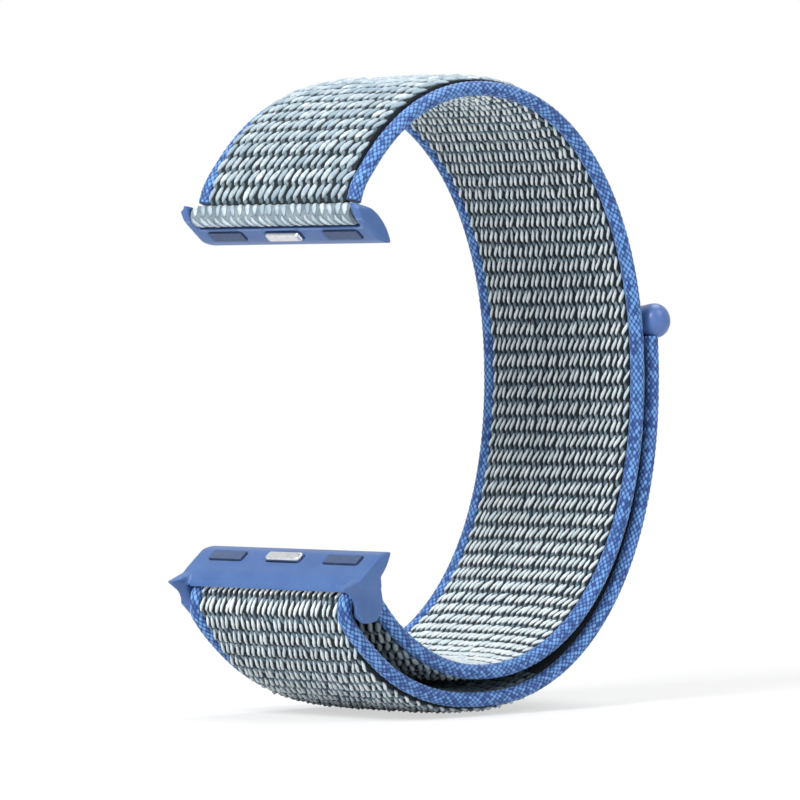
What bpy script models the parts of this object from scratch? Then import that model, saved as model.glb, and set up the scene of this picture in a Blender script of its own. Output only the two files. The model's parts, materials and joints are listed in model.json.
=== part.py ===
"""Hook and loop watch strap: a woven band between two spring-latched lugs.

Frame: X runs across the band, +Y away from the wearer's view of the dial, +Z up.
The origin is the middle of the closed strap's bounding box. All lengths are metres.
A place on the strap is given by the distance run along its centre line, from the
upper lug over the crown and down the back to the crossbar of the lower lug, round
that crossbar, and on along the tail. "Left" of that run is the face that turns
out on the band and in on the folded tail.
"""

import math

import bmesh
import bpy
import numpy as np
from mathutils import Vector

# The band and the play between its pieces
BAND_WIDTH = 0.0220
CORD_DIAMETER = 0.00145
BAND_THICKNESS = 0.0021
TURN_THICKNESS = 0.0013
NECK_THICKNESS = 0.0015
TAPER_LENGTH = 0.0060
SWELL = 0.0005
CLEARANCE = 0.0003
FIT_GAP = 0.0001

# The loop's centre line: half its depth and half its height, and how round its corners are,
# where a share of 1 is a plain ellipse's and less is squarer
LOOP_HALF_DEPTH = 0.0244
LOOP_HALF_HEIGHT = 0.0298
CROWN_ROUND_SHARE = 0.952
BACK_ROUND_SHARE = 0.935
FRONT_ROUND_SHARE = 0.985
TAIL_FRONT_ROUND_SHARE = 0.840
TAIL_SAG = 0.0004

# Where the band leaves its oval for the lugs, and the tail joins its own, in degrees
NECK_ANGLE = 141.0
LEAVING_ANGLE = -124.0
TAIL_START_ANGLE = -124.0
TAIL_END_ANGLE = 6.0
OVAL_STEPS = 40
ROUTE_SAMPLES = 4000

# The lugs: a lens-shaped bar each, its ends cut to a rounded rectangle's corners
LUG_REACH = 0.0189
LUG_SPREAD = 0.0174
LUG_DROP = 0.0016
LUG_TILT = 37.7
LENS_LENGTH = 0.0066
LENS_HALF_THICKNESS = 0.0011
LAND_HEIGHT = 0.00085
LUG_END_WALL = 0.0011
END_CORNER_INSET = 0.0044
END_HALF_HEIGHT = 0.0200
END_RADIUS = 0.0090
UPPER_TIP_WALL = 0.0005

# The crossbar that the strap folds round, and the ears that hold it
CROSSBAR_DIAMETER = 0.0020
CROSSBAR_DROP = 0.0038
TURN_RADIUS = 0.0021
JOURNAL_DIAMETER = 0.0012
EAR_REACH = 0.0018
EAR_THICKNESS = 0.0010
EAR_LEAD = 0.0019
EAR_LIFT = 0.0005
EAR_BACK = 0.0010
EAR_WEB_REACH = 0.0013
EAR_WEB_RISE = 0.0017
BAR_SEAT_DEPTH = 0.0006

# The pin in the upper lug, and the woven sleeve round it
PIN_DIAMETER = 0.0008
PIN_OFFSET = 0.0015
PIN_PLAY = 0.00015
SLEEVE_WALL = 0.0005

# The latch in each lug, and the pads beside it
LATCH_OFFSET = 0.0008
BUTTON_LENGTH = 0.0046
BUTTON_WIDTH = 0.0011
BUTTON_HEIGHT = 0.00122
BUTTON_TRAVEL = 0.00040
BUTTON_ROUNDING = 0.00025
LATCH_POCKET_DEPTH = 0.00150
SPRING_LENGTH = 0.0040
SPRING_WIDTH = 0.0007
SPRING_THICKNESS = 0.0001
SPRING_RISE = 0.00012
PAD_LENGTH = 0.0045
PAD_WIDTH = 0.0012
PAD_THICKNESS = 0.0007
PAD_PROUD = 0.0001
PAD_INSET = 0.0044

# The tab at the tail's end, the hook patches and the anchor seam
TAB_LENGTH = 0.0037
TAB_THICKNESS = 0.0034
TAB_OVERHANG = 0.0003
TAB_LIFT = 0.0010
HOOK_INSET = 0.0025
HOOK_THICKNESS = 0.0007
THREAD_DIAMETER = 0.00024
SEAM_PLACE = 0.0026
SEAM_WIDTH = 0.0014
SEAM_WAVES = 7

# Where the strap bends: the band's two flex lines and the tail's peel lines
CROWN_FLEX_ANGLE = 27.0
FRONT_FLEX_ANGLE = 83.0
PEEL_START_ANGLE = -72.0
PEEL_JOINTS = 4

# How finely the surfaces are cut
RING_STEP = 0.0022
TURN_STEP = 0.0006
CORD_SIDES = 8
ROUND_SIDES = 24
LENS_STEPS = 12
TAB_RINGS = 12
CROWN_SHARE = 0.28
CROWN_PLACE_SHARES = (-1.0, -0.72, -0.32, 0.32, 0.72, 1.0)
CROWN_DROP_SHARES = (1.0, 0.4, 0.0, 0.0, 0.4, 1.0)
SEAM_SHARE = 0.7
CUT_OVERRUN = 0.0010

# An ear's outline from the lens down, round the crossbar and up past the hollow that shows the strap's turn,
# in shares of its reach
EAR_PLACE_SHARES = (
    (0.6, 2.11), (0.63, 1.61), (0.8, 0.89), (0.88, 0.5), (0.84, 0.06), (0.4, -0.6), (-0.11, -0.72), (-1.06, -0.72),
    (-1.4, -0.6), (-1.54, -0.28), (-1.4, 0.0), (-1.38, 0.3), (-1.62, 0.68),
)

# Sizes that follow from the ones above
CORD_RADIUS = CORD_DIAMETER / 2
CORD_PLACE = BAND_WIDTH / 2 - CORD_RADIUS
WEAVE_HALF_WIDTH = CORD_PLACE - CORD_RADIUS - CLEARANCE
HALF_THICKNESS = BAND_THICKNESS / 2
HOOK_HALF_WIDTH = BAND_WIDTH / 2 - HOOK_INSET
TAB_WIDTH = BAND_WIDTH + TAB_OVERHANG * 2
TAIL_HALF_DEPTH = LOOP_HALF_DEPTH + BAND_THICKNESS + CLEARANCE
TAIL_HALF_HEIGHT = LOOP_HALF_HEIGHT + BAND_THICKNESS + CLEARANCE + TAIL_SAG
EAR_INNER = BAND_WIDTH / 2 + CLEARANCE
LUG_HALF_LENGTH = EAR_INNER + LUG_END_WALL
PAD_PLACE = LUG_HALF_LENGTH - PAD_INSET
SLEEVE_INNER = PIN_DIAMETER / 2 + PIN_PLAY
SLEEVE_OUTER = SLEEVE_INNER + SLEEVE_WALL
NOTCH_RADIUS = SLEEVE_OUTER + CLEARANCE
RELIEF_RADIUS = TURN_RADIUS + CORD_RADIUS + CLEARANCE


def clear_scene():
    for thing in list(bpy.data.objects):
        bpy.data.objects.remove(thing, do_unlink=True)


def finish(name, colour, roughness, metallic=0.0):
    material = bpy.data.materials.new(name)
    material.use_nodes = True
    shader = material.node_tree.nodes["Principled BSDF"]
    shader.inputs["Base Color"].default_value = (*colour, 1.0)
    shader.inputs["Roughness"].default_value = roughness
    shader.inputs["Metallic"].default_value = metallic
    return material


def turned(direction, degrees):
    """A direction in the side view (Y, Z), turned from +Y towards +Z."""
    angle = math.radians(degrees)
    y, z = direction
    return Vector((y * math.cos(angle) - z * math.sin(angle), y * math.sin(angle) + z * math.cos(angle)))


class Lug:
    """A lug's place in the side view: its middle, the way along its lens to the back, and its outer side."""

    def __init__(self, side):
        self.side = side
        self.middle = Vector((-LUG_REACH, side * LUG_SPREAD - LUG_DROP))
        self.along = turned((1.0, 0.0), -side * LUG_TILT)
        self.seat = turned((-1.0, 0.0), -side * LUG_TILT + side * 90.0)

    def point(self, along, out, x=0.0):
        """A point given along the lens, and out of the face that the latch stands on."""
        place = self.middle + self.along * along + self.seat * out
        return Vector((x, place.x, place.y))


UPPER = Lug(1)
LOWER = Lug(-1)
PIN_CENTRE = UPPER.middle - UPPER.along * PIN_OFFSET
CROSSBAR_CENTRE = LOWER.middle - Vector((0.0, CROSSBAR_DROP))


def oval_point(degrees, half_depth, half_height, round_share):
    """A point of a superellipse round the loop's middle."""
    angle = math.radians(degrees)
    y = math.copysign(abs(math.cos(angle)) ** round_share, math.cos(angle)) * half_depth
    z = math.copysign(abs(math.sin(angle)) ** round_share, math.sin(angle)) * half_height
    return Vector((y, z))


def loop_point(degrees):
    if degrees > 90.0:
        round_share = CROWN_ROUND_SHARE
    elif degrees > -90.0:
        round_share = BACK_ROUND_SHARE
    else:
        round_share = FRONT_ROUND_SHARE
    return oval_point(degrees, LOOP_HALF_DEPTH, LOOP_HALF_HEIGHT, round_share)


def tail_point(degrees):
    round_share = BACK_ROUND_SHARE if degrees > -90.0 else TAIL_FRONT_ROUND_SHARE
    return oval_point(degrees, TAIL_HALF_DEPTH, TAIL_HALF_HEIGHT, round_share)


def tangent_angle(outside, before):
    """Where a line from a point outside touches the turn round the crossbar, in degrees about it."""
    way = outside - CROSSBAR_CENTRE
    spread = math.degrees(math.acos(TURN_RADIUS / way.length))
    bearing = math.degrees(math.atan2(way.y, way.x))
    return bearing + spread if before else bearing - spread


def centre_line_knots():
    """The strap's route in the side view, from the sleeve in the upper lug to the tail's end."""
    neck = loop_point(NECK_ANGLE)
    start = PIN_CENTRE + (neck - PIN_CENTRE).normalized() * NOTCH_RADIUS
    knots = [start]
    for step in range(OVAL_STEPS + 1):
        share = step / OVAL_STEPS
        knots.append(loop_point(NECK_ANGLE + (LEAVING_ANGLE - NECK_ANGLE) * share))
    turn_first = len(knots)
    first = tangent_angle(knots[-1], before=True)
    tail_start = tail_point(TAIL_START_ANGLE)
    last = tangent_angle(tail_start, before=False) % 360.0
    turn_steps = round(math.radians(last - first) * TURN_RADIUS / TURN_STEP)
    for step in range(turn_steps + 1):
        way = turned((TURN_RADIUS, 0.0), first + (last - first) * step / turn_steps)
        knots.append(CROSSBAR_CENTRE + way)
    turn_last = len(knots) - 1
    for step in range(OVAL_STEPS + 1):
        share = step / OVAL_STEPS
        knots.append(tail_point(TAIL_START_ANGLE + (TAIL_END_ANGLE - TAIL_START_ANGLE) * share))
    return knots, turn_first, turn_last


class Route:
    """The centre line, read by the distance run along it."""

    def __init__(self, knots):
        self.points = np.array([tuple(knot) for knot in knots])
        steps = np.linalg.norm(np.diff(self.points, axis=0), axis=1)
        self.runs = np.concatenate([[0.0], np.cumsum(steps)])
        self.slopes = np.gradient(self.points, self.runs, axis=0)

    def at(self, run):
        """The centre and the unit normal to the left of the route, each as (Y, Z)."""
        span = int(np.clip(np.searchsorted(self.runs, run) - 1, 0, len(self.runs) - 2))
        length = self.runs[span + 1] - self.runs[span]
        share = (run - self.runs[span]) / length
        ease = share * share * (3.0 - 2.0 * share)
        begin, end = self.points[span], self.points[span + 1]
        lead = share * (1.0 - share) * (1.0 - share) * length
        trail = share * share * (share - 1.0) * length
        place = begin + (end - begin) * ease + self.slopes[span] * lead + self.slopes[span + 1] * trail
        way = self.slopes[span] * (1.0 - share) + self.slopes[span + 1] * share
        way = way / np.linalg.norm(way)
        return place, np.array([-way[1], way[0]])

    def near(self, point):
        """The run at which the route passes closest to a point."""
        runs = np.linspace(0.0, self.runs[-1], ROUTE_SAMPLES)
        gaps = [np.linalg.norm(self.at(run)[0] - np.array(tuple(point))) for run in runs]
        return float(runs[int(np.argmin(gaps))])

    def world(self, run, x, left):
        place, normal = self.at(run)
        y, z = place + normal * left
        return Vector((x, y, z))


KNOTS, TURN_FIRST, TURN_LAST = centre_line_knots()
ROUTE = Route(KNOTS)
TURN_START = float(ROUTE.runs[TURN_FIRST]) - CLEARANCE
TURN_END = float(ROUTE.runs[TURN_LAST])
STRAP_END = float(ROUTE.runs[-1])
FRONT_FLEX = ROUTE.near(loop_point(FRONT_FLEX_ANGLE))
CROWN_FLEX = ROUTE.near(loop_point(CROWN_FLEX_ANGLE))
PEEL_START = ROUTE.near(tail_point(PEEL_START_ANGLE))
PEEL_LENGTH = (STRAP_END - PEEL_START) / PEEL_JOINTS

# The tab's middle, and the middle of the whole strap's box, which is the part's origin
END_CENTRE, END_LEFT = (Vector(pair) for pair in ROUTE.at(STRAP_END))
END_ONWARD = Vector((END_LEFT.y, -END_LEFT.x))
TAB_MIDDLE = END_CENTRE + END_ONWARD * (TAB_LENGTH / 2 + CLEARANCE) - END_LEFT * TAB_LIFT
FRONT_REACH = LUG_REACH + LENS_LENGTH / 2 * math.cos(math.radians(LUG_TILT)) + EAR_LEAD
BACK_REACH = TAB_MIDDLE.x + TAB_THICKNESS / 2
TOP_REACH = LOOP_HALF_HEIGHT + HALF_THICKNESS + SWELL
BOTTOM_REACH = TAIL_HALF_HEIGHT + HALF_THICKNESS + SWELL
BOX_MIDDLE = Vector((0.0, (BACK_REACH - FRONT_REACH) / 2, (TOP_REACH - BOTTOM_REACH) / 2))


def half_thickness(run):
    """Half the band's thickness: thin at the upper lug's sleeve and round the crossbar, full between."""
    thin = TURN_THICKNESS / 2
    away = TAPER_LENGTH
    if run < ROUTE.runs[TURN_FIRST] / 2:
        thin = NECK_THICKNESS / 2
        away = run
    elif run < TURN_START:
        away = TURN_START - run
    elif run > TURN_END:
        away = run - TURN_END
    else:
        away = 0.0
    return thin + (HALF_THICKNESS - thin) * min(1.0, away / TAPER_LENGTH)


def outer_swell(run):
    """How far the free outer face stands out past the band's even thickness, in the middle of its width."""
    if run < TURN_START:
        away = min(run, CROWN_FLEX + TAPER_LENGTH - run)
    else:
        away = run - TURN_END
    return SWELL * min(1.0, max(0.0, away / TAPER_LENGTH))


def face_out(shape):
    """Makes the faces of a closed shape agree, and point out."""
    bmesh.ops.recalc_face_normals(shape, faces=shape.faces)
    if shape.calc_volume(signed=True) < 0.0:
        bmesh.ops.reverse_faces(shape, faces=shape.faces)
    return shape


def box_mesh(low, high):
    """A closed box between two corners."""
    shape = bmesh.new()
    bmesh.ops.create_cube(shape, size=1.0)
    for vert in shape.verts:
        for axis in range(3):
            vert.co[axis] = low[axis] if vert.co[axis] < 0.0 else high[axis]
    return shape


def prism(outline, low, high):
    """A side-view outline of (Y, Z) points, carried along X from low to high."""
    shape = bmesh.new()
    ring = [shape.verts.new((low, y, z)) for y, z in outline]
    face = shape.faces.new(ring)
    far = bmesh.ops.extrude_face_region(shape, geom=[face])["geom"]
    for item in far:
        if isinstance(item, bmesh.types.BMVert):
            item.co.x = high
    return face_out(shape)


def circle(centre, radius, sides=ROUND_SIDES):
    return [tuple(centre + turned((radius, 0.0), 360.0 * side / sides)) for side in range(sides)]


def make(name, shape, material, pivot=None):
    """Turns a bmesh, in places about the loop's middle, into an object seated on its body's pivot."""
    seat = pivot["place"] if pivot else BOX_MIDDLE
    mesh = bpy.data.meshes.new(name)
    shape.to_mesh(mesh)
    shape.free()
    thing = bpy.data.objects.new(name, mesh)
    bpy.context.scene.collection.objects.link(thing)
    if material:
        mesh.materials.append(material)
        mesh.shade_smooth()
        mesh.set_sharp_from_angle(angle=math.radians(35.0))
    for vert in mesh.vertices:
        vert.co -= seat
    if pivot:
        thing.parent = pivot["empty"]
    return thing


def make_pivot(name, place, parent=None):
    """An empty on a joint's axis, which carries the body that turns or slides there."""
    empty = bpy.data.objects.new(name, None)
    bpy.context.scene.collection.objects.link(empty)
    empty.empty_display_size = BAND_WIDTH / 4
    empty.location = place - (parent["place"] if parent else BOX_MIDDLE)
    if parent:
        empty.parent = parent["empty"]
    print(name, [round(value, 6) for value in place - BOX_MIDDLE])
    return {"empty": empty, "place": place}


def cut(thing, name, shape, operation="DIFFERENCE"):
    """Adds a Boolean with a hidden cutter, which keeps its world place."""
    cutter = make(name, shape, None)
    cutter.hide_render = True
    cutter.display_type = "WIRE"
    step = thing.modifiers.new(name, "BOOLEAN")
    step.operation = operation
    step.object = cutter


def sweep(stations, outline_at):
    """A closed solid through one ring of points at each station along the route."""
    shape = bmesh.new()
    rings = []
    for run in stations:
        rings.append([shape.verts.new(ROUTE.world(run, x, left)) for x, left in outline_at(run)])
    for near, far in zip(rings, rings[1:]):
        for first in range(len(near)):
            second = (first + 1) % len(near)
            shape.faces.new((near[first], near[second], far[second], far[first]))
    shape.faces.new(rings[0])
    shape.faces.new(reversed(rings[-1]))
    return face_out(shape)


def stations_between(start, end, step=RING_STEP):
    count = max(1, math.ceil((end - start) / step))
    return [start + (end - start) * index / count for index in range(count + 1)]


def crowned(crown, drop):
    """A face across the weave, flat in the middle and lower at its edges."""
    pairs = zip(CROWN_PLACE_SHARES, CROWN_DROP_SHARES)
    return [(place * WEAVE_HALF_WIDTH, crown - drop * fall) for place, fall in pairs]


def layer(flat, crown, drop):
    """A layer's outline: crowned on one face, and flat on the other."""
    return crowned(crown, drop) + [(WEAVE_HALF_WIDTH, flat), (-WEAVE_HALF_WIDTH, flat)]


def outer_weave_outline(run):
    half, swell = half_thickness(run), outer_swell(run)
    return layer(CLEARANCE / 2, half + swell, half * CROWN_SHARE + swell)


def inner_lining_outline(run):
    half = half_thickness(run)
    return layer(-CLEARANCE / 2, -half, -half * CROWN_SHARE)


def whole_weave_outline(run):
    half, swell = half_thickness(run), outer_swell(run)
    return crowned(half, half * CROWN_SHARE) + crowned(-half - swell, -half * CROWN_SHARE - swell)[::-1]


def hooked_weave_outline(run):
    half, swell = half_thickness(run), outer_swell(run)
    return layer(half - HOOK_THICKNESS - CLEARANCE, -half - swell, -half * CROWN_SHARE - swell)


def hook_outline(run):
    half = half_thickness(run)
    edge = HOOK_HALF_WIDTH
    top = half * (1.0 - CROWN_SHARE / 2)
    return [(-edge, half - HOOK_THICKNESS), (edge, half - HOOK_THICKNESS), (edge, top), (0.0, half), (-edge, top)]


def cord_outline(side):
    def outline(run):
        points = []
        for index in range(CORD_SIDES):
            angle = math.tau * index / CORD_SIDES
            points.append((side * CORD_PLACE + CORD_RADIUS * math.cos(angle), CORD_RADIUS * math.sin(angle)))
        return points
    return outline


def make_stretch(name, start, end, layers, looks, pivot, step=RING_STEP):
    """One stretch of the strap: its woven layers and the cord along each edge."""
    stations = stations_between(start, end, step)
    for part, outline, look in layers:
        make(f"{name}_{part}", sweep(stations, outline), looks[look], pivot)
    for word, side in (("right", 1), ("left", -1)):
        make(f"{name}_edge_cord_{word}", sweep(stations, cord_outline(side)), looks["cord"], pivot)


def lens_outline(lug):
    """The lug's section: two shallow arcs between pointed ends, with a flat land under the latch."""
    half = LENS_LENGTH / 2
    radius = (half * half + LENS_HALF_THICKNESS * LENS_HALF_THICKNESS) / (2 * LENS_HALF_THICKNESS)
    drop = radius - LENS_HALF_THICKNESS
    sweep_angle = math.asin(half / radius)
    points = []
    for step in range(LENS_STEPS):
        angle = sweep_angle * (2.0 * step / LENS_STEPS - 1.0)
        rise = radius * math.cos(angle) - drop
        points.append((radius * math.sin(angle), min(rise, LAND_HEIGHT)))
    for step in range(LENS_STEPS):
        angle = sweep_angle * (1.0 - 2.0 * step / LENS_STEPS)
        points.append((radius * math.sin(angle), drop - radius * math.cos(angle)))
    return [tuple(lug.middle + lug.along * along + lug.seat * out) for along, out in points]


def ear_outline():
    """An ear of the lower lug in the side view: its front corner, up into the lens, and round the crossbar."""
    tip = LOWER.middle - LOWER.along * (LENS_LENGTH / 2)
    points = [tip + Vector((-EAR_LEAD, EAR_LIFT)), tip + Vector((EAR_WEB_REACH, EAR_WEB_RISE))]
    points += [LOWER.middle + LOWER.along * EAR_BACK]
    points += [CROSSBAR_CENTRE + Vector(pair) * EAR_REACH for pair in EAR_PLACE_SHARES]
    return [tuple(point) for point in points]


def end_trim(side, tip):
    """The front-view shape that a lug's ends are cut to: a rounded corner, then straight on at the tip's place."""
    outer = LUG_HALF_LENGTH
    corner_x = outer - END_CORNER_INSET
    corner_z = END_HALF_HEIGHT - END_RADIUS
    first = math.acos((outer - corner_x) / END_RADIUS)
    last = math.acos((tip - corner_x) / END_RADIUS)
    profile = [(outer, 0.0)]
    for step in range(LENS_STEPS + 1):
        angle = first + (last - first) * step / LENS_STEPS
        profile.append((corner_x + END_RADIUS * math.cos(angle), corner_z + END_RADIUS * math.sin(angle)))
    profile.append((tip, END_HALF_HEIGHT + CROSSBAR_DROP))
    outline = profile + [(-x, z) for x, z in reversed(profile)]
    shape = bmesh.new()
    near = -FRONT_REACH - LENS_LENGTH
    ring = [shape.verts.new((x, near, side * z - LUG_DROP)) for x, z in outline]
    face = shape.faces.new(ring)
    far = bmesh.ops.extrude_face_region(shape, geom=[face])["geom"]
    for item in far:
        if isinstance(item, bmesh.types.BMVert):
            item.co.y = 0.0
    return face_out(shape)


def lug_box(lug, along, out, x):
    """A box given by its limits along the lens, out of its seat face, and across the band."""
    shape = box_mesh((x[0], along[0], out[0]), (x[1], along[1], out[1]))
    for vert in shape.verts:
        across, place, height = vert.co
        vert.co = lug.point(place, height, across)
    return face_out(shape)


def add_latch(lug, name, body, looks, lug_pivot, latch_pivot):
    """The spring latch in the middle of a lug, and the two soft pads beside it."""
    half_length, half_width = BUTTON_LENGTH / 2, BUTTON_WIDTH / 2
    floor = LAND_HEIGHT - LATCH_POCKET_DEPTH
    above = LAND_HEIGHT + CUT_OVERRUN
    room = half_length + FIT_GAP
    span = (LATCH_OFFSET - half_width - FIT_GAP, LATCH_OFFSET + half_width + FIT_GAP)
    cut(body, f"{name}_latch_pocket", lug_box(lug, span, (floor, above), (-room, room)))
    top = LAND_HEIGHT + BUTTON_TRAVEL
    span = (LATCH_OFFSET - half_width, LATCH_OFFSET + half_width)
    shape = lug_box(lug, span, (top - BUTTON_HEIGHT, top), (-half_length, half_length))
    button = make(f"{name}_latch_button", shape, looks["steel"], latch_pivot)
    rounding = button.modifiers.new("rounding", "BEVEL")
    rounding.width = BUTTON_ROUNDING
    rounding.segments = 2

    spring = bmesh.new()
    rings = []
    seat = floor + FIT_GAP / 2
    for station in stations_between(-SPRING_LENGTH / 2, SPRING_LENGTH / 2, SPRING_LENGTH / 8):
        share = 2.0 * station / SPRING_LENGTH
        bow = seat + SPRING_RISE * (1.0 - share * share)
        near, far = LATCH_OFFSET - SPRING_WIDTH / 2, LATCH_OFFSET + SPRING_WIDTH / 2
        top = bow + SPRING_THICKNESS
        corners = [(near, bow), (far, bow), (far, top), (near, top)]
        rings.append([spring.verts.new(lug.point(along, out, station)) for along, out in corners])
    for near, far in zip(rings, rings[1:]):
        for first in range(len(near)):
            second = (first + 1) % len(near)
            spring.faces.new((near[first], near[second], far[second], far[first]))
    spring.faces.new(rings[0])
    spring.faces.new(reversed(rings[-1]))
    face_out(spring)
    make(f"{name}_latch_spring", spring, looks["steel"], lug_pivot)

    for word, side in (("right", 1), ("left", -1)):
        centre = side * PAD_PLACE
        half = PAD_LENGTH / 2
        base = LAND_HEIGHT + PAD_PROUD - PAD_THICKNESS
        span = (LATCH_OFFSET - PAD_WIDTH / 2, LATCH_OFFSET + PAD_WIDTH / 2)
        shape = lug_box(lug, span, (base, LAND_HEIGHT + PAD_PROUD), (centre - half, centre + half))
        make(f"{name}_pad_{word}", shape, looks["rubber"], lug_pivot)
        room = half + FIT_GAP
        span = (span[0] - FIT_GAP, span[1] + FIT_GAP)
        shape = lug_box(lug, span, (base - FIT_GAP, above), (centre - room, centre + room))
        cut(body, f"{name}_pad_pocket_{word}", shape)


def add_upper_lug(looks, lug_pivot, latch_pivot):
    half = LUG_HALF_LENGTH + CUT_OVERRUN
    body = make("upper_lug_body", prism(lens_outline(UPPER), -half, half), looks["plastic"], lug_pivot)
    cut(body, "upper_end_trim", end_trim(1, EAR_INNER + UPPER_TIP_WALL), "INTERSECT")
    cut(body, "upper_notch", prism(circle(PIN_CENTRE, NOTCH_RADIUS), -EAR_INNER, EAR_INNER))
    tip = (-LENS_LENGTH / 2 - CUT_OVERRUN, -PIN_OFFSET)
    room = LENS_HALF_THICKNESS + CUT_OVERRUN
    cut(body, "upper_tip_cut", lug_box(UPPER, tip, (-room, room), (-EAR_INNER, EAR_INNER)))
    pin = PIN_DIAMETER / 2
    reach = EAR_INNER + BAR_SEAT_DEPTH
    cut(body, "upper_pin_seat", prism(circle(PIN_CENTRE, pin + FIT_GAP), -reach - FIT_GAP, reach + FIT_GAP))
    make("upper_pin", prism(circle(PIN_CENTRE, pin), -reach, reach), looks["steel"], lug_pivot)
    add_latch(UPPER, "upper", body, looks, lug_pivot, latch_pivot)


def add_lower_lug(looks, lug_pivot, latch_pivot):
    half = LUG_HALF_LENGTH + CUT_OVERRUN
    body = make("lower_lug_body", prism(lens_outline(LOWER), -half, half), looks["plastic"], lug_pivot)
    for word, side in (("right", 1), ("left", -1)):
        near = side * (EAR_INNER - CLEARANCE / 2)
        far = side * (EAR_INNER + EAR_THICKNESS + CUT_OVERRUN)
        cut(body, f"lower_ear_{word}", prism(ear_outline(), near, far), "UNION")
    cut(body, "lower_end_trim", end_trim(-1, EAR_INNER + EAR_THICKNESS), "INTERSECT")
    cut(body, "lower_relief", prism(circle(CROSSBAR_CENTRE, RELIEF_RADIUS, 2 * ROUND_SIDES), -EAR_INNER, EAR_INNER))
    journal = JOURNAL_DIAMETER / 2
    reach = EAR_INNER + BAR_SEAT_DEPTH
    cut(body, "lower_bar_seat", prism(circle(CROSSBAR_CENTRE, journal + FIT_GAP), -reach - FIT_GAP, reach + FIT_GAP))
    shape = prism(circle(CROSSBAR_CENTRE, CROSSBAR_DIAMETER / 2), -BAND_WIDTH / 2, BAND_WIDTH / 2)
    bar = make("lower_crossbar", shape, looks["steel"], lug_pivot)
    cut(bar, "bar_journals", prism(circle(CROSSBAR_CENTRE, journal), -reach, reach), "UNION")
    add_latch(LOWER, "lower", body, looks, lug_pivot, latch_pivot)


def add_anchor(looks, pivot):
    """The woven sleeve round the upper pin, and the zigzag seam that closes it."""
    half = BAND_WIDTH / 2
    sleeve = make("anchor_sleeve", prism(circle(PIN_CENTRE, SLEEVE_OUTER), -half, half), looks["weave"], pivot)
    bore = prism(circle(PIN_CENTRE, SLEEVE_INNER), -half - CUT_OVERRUN, half + CUT_OVERRUN)
    cut(sleeve, "sleeve_bore", bore)
    thread = bpy.data.curves.new("anchor_seam", "CURVE")
    thread.dimensions = "3D"
    thread.bevel_depth = THREAD_DIAMETER / 2
    thread.bevel_resolution = 1
    thread.use_fill_caps = True
    line = thread.splines.new("POLY")
    count = 2 * SEAM_WAVES + 1
    line.points.add(count - 1)
    reach = WEAVE_HALF_WIDTH * SEAM_SHARE
    for index in range(count):
        share = 2.0 * index / (count - 1) - 1.0
        run = SEAM_PLACE + (SEAM_WIDTH / 2 if index % 2 else -SEAM_WIDTH / 2)
        depth = half_thickness(run) + CLEARANCE + THREAD_DIAMETER / 2
        place = ROUTE.world(run, share * reach, -depth)
        line.points[index].co = (*(place - pivot["place"]), 1.0)
    seam = bpy.data.objects.new("anchor_seam", thread)
    bpy.context.scene.collection.objects.link(seam)
    thread.materials.append(looks["weave"])
    seam.parent = pivot["empty"]


def add_tab(looks, pivot):
    """The smooth bead that ends the tail: a round bar with domed ends."""
    shape = bmesh.new()
    rings = []
    for index in range(1, TAB_RINGS):
        angle = math.pi * index / TAB_RINGS
        x = -TAB_WIDTH / 2 * math.copysign(abs(math.cos(angle)) ** 0.5, math.cos(angle))
        size = math.sin(angle) ** 0.5
        ring = []
        for side in range(ROUND_SIDES // 2):
            turn = math.tau * side / (ROUND_SIDES // 2)
            place = TAB_MIDDLE + END_ONWARD * (TAB_LENGTH / 2 * size * math.cos(turn))
            place = place - END_LEFT * (TAB_THICKNESS / 2 * size * math.sin(turn))
            ring.append(shape.verts.new((x, place.x, place.y)))
        rings.append(ring)
    for near, far in zip(rings, rings[1:]):
        for first in range(len(near)):
            second = (first + 1) % len(near)
            shape.faces.new((near[first], near[second], far[second], far[first]))
    shape.faces.new(rings[0])
    shape.faces.new(reversed(rings[-1]))
    face_out(shape)
    make("tail_tab", shape, looks["tab"], pivot)


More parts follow.
